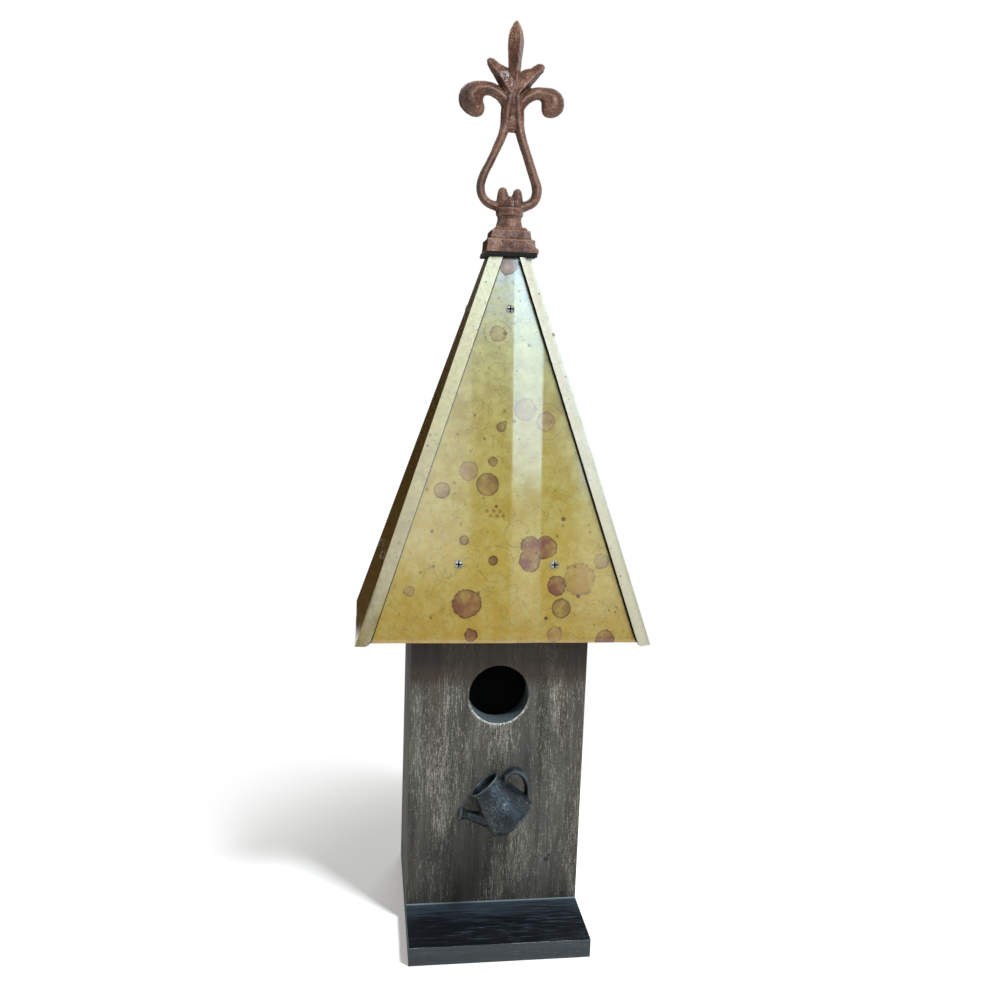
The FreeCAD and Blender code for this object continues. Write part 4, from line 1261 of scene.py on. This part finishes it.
@dataclass
class Finial:
    """Cast iron finial: a spear leaf over a drop-shaped loop on a stepped foot.

    Each step of the square foot and each turned ring above it is its lower and upper
    height and its half width or radius at either, in millimetres above the roof. The
    strokes above them follow widths measured up the finial.
    """

    voxel: float = 0.52 * MM
    steps: tuple[tuple[float, float, float, float], ...] = (
        (0.3, 3.4, 16.4, 16.0), (3.2, 11.0, 15.3, 14.8), (10.6, 16.6, 12.8, 12.0),
        (16.2, 18.6, 11.0, 9.4))
    rings: tuple[tuple[float, float, float, float], ...] = (
        (18, 23, 8.8, 7.6), (22, 26.4, 7.4, 7.6), (26, 30.6, 8.6, 8.5))
    bedding: float = 3.2 * MM

    def strokes(self) -> list[Limb]:
        """List the finial's strokes, in millimetres above the roof's top.

        Returns:
            The spear, neck, prongs and arms, then the loop's two sides and their buds.
        """
        strokes = [
            Limb(((-0.2, 103, 3.4), (0.0, 108, 3.9), (-0.1, 114, 4.6), (-0.1, 122, 5.5),
                  (0.2, 130, 6.0), (0.3, 136, 4.9), (0.3, 140.2, 2.6), (0.3, 142.2, 0.7)),
                 0.85, 4, twist=0.45),
            Limb(((-0.2, 104, 4.6), (-0.6, 98, 7.2), (-0.6, 91, 6.4)), 0.55),
            Limb(((-2.6, 97, 4.2), (-3.8, 90, 4.0), (-4.4, 82, 3.6)), 0.95, ridge=0.4),
            Limb(((2.0, 97, 4.2), (2.8, 90, 4.0), (3.7, 82, 3.5)), 0.95, ridge=0.4),
            Limb(((-0.4, 29, 7.2), (-0.2, 32, 6.2)), 0.9),
            Limb(((-0.3, 84, 4.8), (-0.3, 80.4, 4.2)), 0.62),
            Limb(((-1.5, 103, 3.8), (-5.2, 110.4, 3.6), (-8.6, 113.8, 2.5)), 0.42),
            Limb(((1.5, 103, 3.8), (5.4, 109.6, 3.6), (9.2, 112.6, 2.6)), 0.42),
            Limb(((-0.6, 99.5, 5.6), (-6.5, 108.0, 5.2), (-12.6, 114.6, 3.7),
                  (-15.6, 117.6, 2.9)), 0.85, 4, twist=-0.35),
            Limb(((0.6, 99.5, 5.6), (7.0, 107.0, 5.0), (13.0, 113.0, 3.9),
                  (16.6, 116.2, 3.3)), 0.85, 4, twist=0.35),
            Limb(((-3, 92, 4.2), (-7.4, 97.6, 3.9), (-14, 101.2, 4.0), (-20.5, 101.0, 4.8),
                  (-25.6, 97.4, 7.2), (-26.4, 93.6, 7.6), (-23.4, 89.6, 5.6)), 0.85,
                 ridge=0.35),
            Limb(((3, 92, 4.2), (7.6, 97.2, 3.7), (13.4, 100.4, 3.8), (19.0, 100.2, 4.4),
                  (23.6, 97.6, 6.6), (24.6, 94.6, 7.2), (22.6, 91.8, 5.2)), 0.85, ridge=0.35),
        ]
        left = ((-4.2, 83, 3.4), (-5.8, 76, 2.9), (-9.4, 67, 2.6), (-13.2, 58.5, 2.5),
                (-17.0, 50.5, 2.6), (-18.9, 43.6, 2.7), (-17.6, 37.2, 2.7), (-13.0, 33.0, 2.7),
                (-6.5, 31.2, 2.9))
        right = ((3.6, 83, 3.4), (5.0, 76, 3.1), (8.2, 67, 2.9), (11.4, 58.5, 2.9),
                 (14.6, 50.0, 3.0), (16.8, 43.2, 3.2), (15.6, 36.8, 3.1), (11.2, 33.2, 3.0),
                 (5.5, 31.2, 3.0))
        strokes += [Limb(points, 0.95, ridge=0.45) for points in (left, right)]
        bumps = (((-4.2, 32.4, 4.8), (-4.6, 36.4, 4.0), (-4.9, 40.6, 2.9)),
                 ((3.6, 32.4, 4.6), (4.2, 36.4, 3.8), (4.5, 40.4, 2.7)))
        return strokes + [Limb(points, 0.95) for points in bumps]

    def build(self) -> None:
        """Cast the finial and dress it."""
        low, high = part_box("finial")
        centre = RoofSheets().middle
        bm = bmesh.new()
        for stroke in self.strokes():
            stroke.add_to(bm)
        self._add_foot(bm)
        bmesh.ops.translate(bm, vec=(centre, 0, low.z), verts=bm.verts)
        piece = cast_from(bm, "finial_casting", self.voxel, 3, self._pit)
        self._keep_inside(piece, low, high)
        iron = CastSkin("rusted_cast_iron", "#1c0b04", "#5a3018", "#b3937f", roughness=0.36,
                        pit_mm=0.8, relief=0.9, worn_at=0.655, coat=0.4)
        compound = CastSkin("black_bedding_compound", "#060504", "#0d0a08", "#1a1410",
                            roughness=0.9, metallic=0.0, pit_mm=0.8, relief=0.4)
        dress(piece, iron.build())
        piece.data.materials.append(compound.build())
        for polygon in piece.data.polygons:
            polygon.material_index = int(polygon.center.z < low.z + self.bedding)
        place(piece, "root", ["finial"])

    def _add_foot(self, bm: bmesh.types.BMesh) -> None:
        """Add the square steps, the neck, its collar and a blob of compound.

        Args:
            bm: The shape, with the roof's top at its origin.
        """
        square = Matrix.Rotation(math.radians(45), 4, "Z")
        corner = math.sqrt(2)           # from a square's half width to its corner
        parts = [(step, 4, corner, square) for step in self.steps]
        parts += [(ring, 32, 1.0, Matrix.Identity(4)) for ring in self.rings]
        for (z_low, z_high, wide_low, wide_high), sides, reach, turn in parts:
            middle = Matrix.Translation((0, 0, (z_low + z_high) / 2 * MM))
            bmesh.ops.create_cone(bm, cap_ends=True, segments=sides,
                                  radius1=wide_low * reach * MM,
                                  radius2=wide_high * reach * MM,
                                  depth=(z_high - z_low) * MM, matrix=middle @ turn)
        bmesh.ops.create_uvsphere(bm, u_segments=16, v_segments=10, radius=2.4 * MM,
                                  matrix=Matrix.Translation(Vector((15.2, -13.0, 4.2)) * MM))

    def _pit(self, point: Vector) -> float:
        """Work out the skin's coarse sand-cast relief.

        Args:
            point: A point of the casting, in metres.

        Returns:
            How far the skin stands out there, in metres.
        """
        coarse = noise.noise(point * 260)
        fine = noise.noise(point * 700 + Vector((4, 9, 1)))
        return (0.16 * coarse + 0.10 * fine) * MM

    def _keep_inside(self, piece: bpy.types.Object, low: Vector, high: Vector) -> None:
        """Hold the casting between the foot and the tip of the construction model.

        Args:
            piece: The casting.
            low: The lower corner of the construction model's box.
            high: Its upper corner.
        """
        for vertex in piece.data.vertices:
            vertex.co.z = max(min(vertex.co.z, high.z), low.z)


@dataclass
class WateringCan:
    """A small cast watering can, tipped to pour, that serves as the perch.

    `profile` is the can's half section as radius and height, and `handle` and `spout`
    are strokes of x, z and radius, all in millimetres from the can's middle. The
    handle follows measured points.
    """

    tilt: float = math.radians(40)
    lean: float = math.radians(-9)
    voxel: float = 0.34 * MM
    stand_off: float = 16.5 * MM
    post_radius: float = 4.6 * MM
    post_length: float = 16.4 * MM
    profile: tuple[tuple[float, float], ...] = (
        (0.0, -17.4), (11.8, -17.4), (14.4, -16.8), (15.7, -15.2), (15.9, -13.0), (15.3, -9.0),
        (13.8, -2.0), (12.2, 4.0), (10.8, 9.0), (10.2, 11.6), (10.8, 12.5), (10.4, 13.3),
        (9.5, 12.9), (9.3, 11.0), (9.6, 8.0), (0.0, 7.6))
    handle: tuple[tuple[float, float, float], ...] = (
        (5.4, 8.6, 2.0), (4.2, 12.6, 1.9), (5.6, 16.8, 2.0), (10.3, 19.2, 2.1),
        (15.2, 16.9, 2.1), (18.3, 11.4, 2.1), (19.0, 4.6, 2.0), (18.0, -2.0, 2.1))
    spout: tuple[tuple[float, float, float], ...] = (
        (1.0, -14.4, 5.6), (-5.0, -13.2, 5.0), (-11.0, -11.6, 3.9), (-18.0, -9.5, 2.8))

    def build(self) -> None:
        """Cast the can and dress it."""
        washer_low, washer_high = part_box("perch_washer")
        centre = (washer_low + washer_high) / 2
        centre.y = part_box("front_wall")[0].y - self.stand_off
        bm = bmesh.new()
        self._add_can(bm)
        lean = Matrix.Rotation(self.lean, 3, "X") @ Matrix.Rotation(-self.tilt, 3, "Y")
        bmesh.ops.rotate(bm, cent=(0, 0, 0), matrix=lean, verts=bm.verts)
        Limb(self.handle, 2.1).add_to(bm)
        bmesh.ops.create_uvsphere(bm, u_segments=12, v_segments=8, radius=2.5 * MM,
                                  matrix=Matrix.Translation(Vector((19.4, 0, -4.4)) * MM))
        self._add_spout(bm)
        turn = Matrix.Rotation(math.radians(90), 4, "X")
        bmesh.ops.create_cone(bm, cap_ends=True, segments=24, radius1=self.post_radius,
                              radius2=self.post_radius, depth=self.post_length,
                              matrix=Matrix.Translation((0, self.post_length / 2, 0)) @ turn)
        bmesh.ops.translate(bm, vec=centre, verts=bm.verts)
        piece = cast_from(bm, "watering_can_casting", self.voxel, 2, self._pit)
        dress(piece, CastSkin("dark_pewter", "#0d1114", "#1a2229", "#7d888e", roughness=0.46,
                              metallic=0.45, pit_mm=1.1, relief=0.15, worn_at=0.74,
                              coat=0.12).build())
        place(piece, "root", ["watering_can_perch"])

    def _add_can(self, bm: bmesh.types.BMesh) -> None:
        """Spin the can's wall, lip and hollow mouth about its axis.

        Args:
            bm: The empty shape.
        """
        verts = [bm.verts.new(Vector((r, 0, z)) * MM) for r, z in self.profile]
        edges = [bm.edges.new(pair) for pair in zip(verts[:-1], verts[1:])]
        bmesh.ops.spin(bm, geom=verts + edges, cent=(0, 0, 0), axis=(0, 0, 1),
                       angle=math.tau, steps=48, use_merge=True)
        bmesh.ops.remove_doubles(bm, verts=bm.verts, dist=1e-5)
        bmesh.ops.recalc_face_normals(bm, faces=bm.faces)

    def _add_spout(self, bm: bmesh.types.BMesh) -> None:
        """Add the spout and its flared rose.

        Args:
            bm: The tipped can.
        """
        Limb(self.spout).add_to(bm)
        aim = Vector((-1, 0, 0.2)).to_track_quat("Z", "Y").to_matrix().to_4x4()
        for along, depth, near, far in ((-20.4, 5.2, 2.2, 4.6), (-23.3, 1.4, 4.8, 4.2)):
            middle = Vector((along, 0, -9.2 - (along + 18.4) * 0.2)) * MM
            bmesh.ops.create_cone(bm, cap_ends=True, segments=28, radius1=near * MM,
                                  radius2=far * MM, depth=depth * MM,
                                  matrix=Matrix.Translation(middle) @ aim)

    def _pit(self, point: Vector) -> float:
        """Return the casting's slight unevenness at a point."""
        return 0.07 * MM * noise.noise(point * 420)


# ------------------------------------------------------------------ hardware
@dataclass
class Hardware:
    """Screws, nails, hinges and the turn button."""

    steel: tuple[str, ...] = ("base_screws", "wall_brads", "plate_screws", "post_screw",
                              "roof_screws", "finial_stud", "perch_washer", "perch_screw",
                              "wall_leaf_screws", "button_washer", "button_screw")
    brass: tuple[str, ...] = ("upper_hinge_wall_leaf", "upper_hinge_pin",
                              "lower_hinge_wall_leaf", "lower_hinge_pin")
    edge: float = 0.1 * MM
    recess_radius: float = 1.8 * MM
    recess_depth: float = 1.6 * MM
    recess_floor: float = 0.6 * MM
    screw_shades: list[bpy.types.Material] = field(default_factory=list, init=False)

    def build(self) -> None:
        """Round every piece's edges and dress it."""
        zinc = PlatedSteel("zinc_plated_steel", "#c6c4ba", "#8f8c84").build()
        # Painted shade for the screws: darker zinc for those on the side sheets, near black in the
        # cross recesses.
        side_screw_shade = PlatedSteel("zinc_darkened_as_side_shade", "#7d705c", "#4a3f31", 0.55).build()
        painted_shade = PlatedSteel("screw_recess_painted_shade", "#161412", "#0d0c0b", 0.8).build()
        self.screw_shades += [painted_shade, side_screw_shade]
        brass = PlatedSteel("tarnished_solid_brass", "#b08d4a", "#7d6230", 0.36).build()
        for node in self.steel:
            self._finish(node, "root", zinc)
        for node in self.brass:
            self._finish(node, "root", brass)
        self._finish("door_leaf_screws", "door", zinc)
        for node in ("upper_hinge_door_leaf", "lower_hinge_door_leaf"):
            self._finish(node, "door", brass)
        self._finish("turn_button", "button", brass)
        door = softened("clean_out_door", 0.6 * MM)
        dress(door, BrushedTimber("dry_brushed_pine_door").build())
        place(door, "door", ["clean_out_door"])

    def _finish(self, node: str, body: str, material: bpy.types.Material) -> None:
        """Soften one node's edges, dress it and tie it to its body.

        Args:
            node: The node.
            body: The body that it moves with.
            material: Its finish.
        """
        piece = softened(node, self.edge, 1)
        dress(piece, material)
        if node.endswith(("screws", "screw")):
            self._shade_screws(piece)
        place(piece, body, [node])

    def _shade_screws(self, piece: bpy.types.Object) -> None:
        """Take the screws of a piece one by one and paint their shade.

        Args:
            piece: A piece of one or more screws.
        """
        # Each of these finishes is painted shade.
        for stain in self.screw_shades:
            piece.data.materials.append(stain)
        bm = bmesh.new()
        bm.from_mesh(piece.data)
        left = set(bm.verts)
        while left:
            island, edge = set(), [left.pop()]
            while edge:
                vertex = edge.pop()
                island.add(vertex)
                fresh = {e.other_vert(vertex) for e in vertex.link_edges} & left
                left -= fresh
                edge += fresh
            self._shade_screw(island)
        bm.to_mesh(piece.data)
        bm.free()

    def _shade_screw(self, island: set[bmesh.types.BMVert]) -> None:
        """Darken one screw's cross recess as painted shade, and darken it all as painted shade if
        it lies across the object.

        Args:
            island: The screw's vertices.
        """
        centre = sum((v.co for v in island), Vector()) / len(island)
        tip = max(island, key=lambda v: (v.co - centre).length).co.copy()
        axis = (centre - tip).normalized()
        top = max((v.co - tip).dot(axis) for v in island)
        for face in {f for v in island for f in v.link_faces}:
            # Screws across the object sit on the side sheets and get painted shade.
            face.material_index = 2 if abs(axis.x) > 0.7 else 0
            out = face.calc_center_median() - tip
            height = out.dot(axis)
            radial = out - axis * height
            faces_in = face.normal.dot(radial) < 0 and abs(face.normal.dot(axis)) < 0.5
            floor = face.normal.dot(axis) > 0.8 and height < top - self.recess_floor
            near_top = height > top - self.recess_depth
            # The cross recess gets painted shade.
            if near_top and radial.length < self.recess_radius and (faces_in or floor):
                face.material_index = 1


# ------------------------------------------------------------------ studio
@dataclass(frozen=True)
class SoftLamp:
    """A rectangular soft lamp, turned towards the roof.

    Place and size are in metres and power in watts. A softbox is seen only in the
    sheen of bright surfaces, and any other lamp only lights the surfaces.
    """

    name: str
    at: Point
    width: float
    height: float
    power: float
    colour: Point = (0.82, 0.93, 1.0)
    softbox: bool = True

    def hang(self, aim: Point) -> None:
        """Hang the lamp.

        Args:
            aim: The point that it is turned to.
        """
        data = bpy.data.lights.new(self.name, "AREA")
        data.shape = "RECTANGLE"
        data.size, data.size_y = self.width, self.height
        data.energy = self.power
        data.color = self.colour
        lamp = bpy.data.objects.new(self.name, data)
        bpy.context.scene.collection.objects.link(lamp)
        lamp.location = self.at
        way = Vector(aim) - Vector(self.at)
        lamp.rotation_euler = way.to_track_quat("-Z", "Y").to_euler()
        if self.softbox:
            lamp.visible_diffuse = False
        else:
            lamp.visible_glossy = False


@dataclass
class Studio:
    """The pale floor, the soft lamps and the camera."""

    eye: Point = (-0.0853, -0.6558, 0.3704)
    yaw: float = -0.15597
    pitch: float = 0.15338
    roll: float = 0.03982
    lens: float = 36.75
    shift: tuple[float, float] = (-0.02369, 0.00159)
    aim: Point = (0.0, 0.0, 0.3)
    lamps: tuple[SoftLamp, ...] = (
        SoftLamp("key_window", (0.90, -1.07, 2.22), 0.40, 0.40, 106.0, (0.93, 0.98, 1.0),
                 softbox=False),
        SoftLamp("back_fill", (0.35, 1.7, 1.3), 0.9, 0.9, 22.0, softbox=False),
        SoftLamp("right_softbox", (0.64, -1.73, 1.22), 0.70, 1.10, 14.5, (0.66, 0.90, 1.12)),
        SoftLamp("right_low_box", (0.65, -1.76, 0.48), 0.70, 0.26, 0.75),
        SoftLamp("left_softbox", (-0.265, -1.86, 1.02), 0.79, 1.10, 7.4),
        SoftLamp("glint_box", (1.15, -1.30, 2.10), 0.24, 0.24, 9.0),
        SoftLamp("back_softbox", (-0.5, 1.7, 1.5), 0.9, 0.9, 8.0))
    cards: tuple[tuple[str, tuple[float, float], Point], ...] = (
        ("front_flag", (7.0, 3.6), (0.0, -2.7, 1.6)), ("back_flag", (1.8, 1.0), (-0.5, 0.75, 0.5)))

    def build(self) -> None:
        """Make the floor, the lamps, the world and the camera."""
        self._floor()
        self._world()
        for lamp in self.lamps:
            lamp.hang(self.aim)
        for name, across, at in self.cards:
            self._card(name, across, at)
        self._camera()

    def _floor(self) -> None:
        """Lay a large pale floor under the object."""
        bm = bmesh.new()
        bmesh.ops.create_grid(bm, x_segments=8, y_segments=8, size=6.0)
        floor = finish_mesh("studio_floor", bm)
        material, tree, coords = start_material("white_studio_floor")
        reach = add_node(tree, "ShaderNodeVectorMath", {"operation": "LENGTH"}, {0: coords})
        far = add_node(tree, "ShaderNodeMapRange", {"interpolation_type": "SMOOTHSTEP"},
                       {0: reach.outputs["Value"], 1: 0.09, 2: 0.28, 3: 0.35, 4: 1.0})
        path = add_node(tree, "ShaderNodeLightPath")
        seen = add_node(tree, "ShaderNodeMath", {"operation": "MAXIMUM"}, {
            0: path.outputs["Is Camera Ray"], 1: path.outputs["Is Glossy Ray"]})
        fade = add_node(tree, "ShaderNodeMath", {"operation": "MULTIPLY"}, {
            0: seen.outputs[0], 1: far.outputs[0]})
        paint = add_node(tree, "ShaderNodeBsdfDiffuse", {}, {0: linear("#f4f4f2")})
        white = add_node(tree, "ShaderNodeEmission", {}, {"Strength": 1.0})
        surface = add_node(tree, "ShaderNodeMixShader", {}, {
            0: fade.outputs[0], 1: paint.outputs[0], 2: white.outputs[0]})
        add_node(tree, "ShaderNodeOutputMaterial", {}, {"Surface": surface.outputs[0]})
        dress(floor, material)

    def _world(self) -> None:
        """Fill the studio with pale light."""
        world = bpy.data.worlds.new("studio_light")
        bpy.context.scene.world = world
        world.use_nodes = True
        tree = world.node_tree
        background = tree.nodes["Background"]
        path = add_node(tree, "ShaderNodeLightPath")
        direct = add_node(tree, "ShaderNodeMath", {"operation": "MAXIMUM"}, {
            0: path.outputs["Is Camera Ray"], 1: path.outputs["Is Transmission Ray"]})
        seen = add_node(tree, "ShaderNodeMath", {"operation": "MAXIMUM"}, {
            0: direct.outputs[0], 1: path.outputs["Is Glossy Ray"]})
        tint = add_node(tree, "ShaderNodeMix", {"data_type": "RGBA"}, {
            0: seen.outputs[0], 6: linear("#ffdcae"), 7: linear("#ffffff")})
        tree.links.new(tint.outputs[2], background.inputs["Color"])
        strength = add_node(tree, "ShaderNodeMapRange", {}, {0: seen.outputs[0], 3: 0.14,
                                                             4: 1.0})
        tree.links.new(strength.outputs[0], background.inputs["Strength"])

    def _card(self, name: str, across: tuple[float, float], at: Point) -> None:
        """Stand a dark card that only the bright metal shows.

        Args:
            name: The card's name.
            across: Its width and height in metres.
            at: Its middle, in metres.
        """
        bm = bmesh.new()
        bmesh.ops.create_grid(bm, x_segments=4, y_segments=4, size=0.5)
        bmesh.ops.scale(bm, vec=(*across, 1.0), verts=bm.verts)
        bmesh.ops.rotate(bm, cent=(0, 0, 0), matrix=Matrix.Rotation(math.radians(90), 3, "X"),
                         verts=bm.verts)
        bmesh.ops.translate(bm, vec=at, verts=bm.verts)
        card = finish_mesh(name, bm)
        material = bpy.data.materials.new("brown_felt_" + name)
        material.use_nodes = True
        felt = material.node_tree.nodes["Principled BSDF"].inputs
        felt["Base Color"].default_value = linear("#28170a")
        felt["Roughness"].default_value = 1.0
        felt["Specular IOR Level"].default_value = 0.0
        dress(card, material)
        card.visible_camera = False
        card.visible_diffuse = False
        card.visible_shadow = False

    def _camera(self) -> None:
        """Set the camera above the eaves, a little to the left, looking down."""
        forward = Vector((-math.sin(self.yaw) * math.cos(self.pitch),
                          math.cos(self.yaw) * math.cos(self.pitch), -math.sin(self.pitch)))
        right = Vector((math.cos(self.yaw), math.sin(self.yaw), 0.0))
        up = right.cross(forward)
        right, up = (right * math.cos(self.roll) + up * math.sin(self.roll),
                     up * math.cos(self.roll) - right * math.sin(self.roll))
        turn = Matrix((right, up, -forward)).transposed().to_4x4()
        data = bpy.data.cameras.new("camera")
        data.lens = self.lens
        data.sensor_width = 36.0
        data.shift_x, data.shift_y = self.shift
        data.clip_start = 0.01
        camera = bpy.data.objects.new("camera", data)
        bpy.context.scene.collection.objects.link(camera)
        camera.matrix_world = Matrix.Translation(Vector(self.eye)) @ turn
        bpy.context.scene.camera = camera


def main() -> None:
    """Build the object's looks and the studio round it."""
    logging.basicConfig(level=logging.INFO, format="%(name)s %(message)s")
    scene = bpy.context.scene
    scene.view_settings.view_transform = "Standard"
    for part in (TimberBox(), RoofSheets(), Finial(), WateringCan(), Hardware(), Studio()):
        LOG.info("building %s", type(part).__name__)
        part.build()


if __name__ == "__main__":
    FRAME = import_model()
    main()
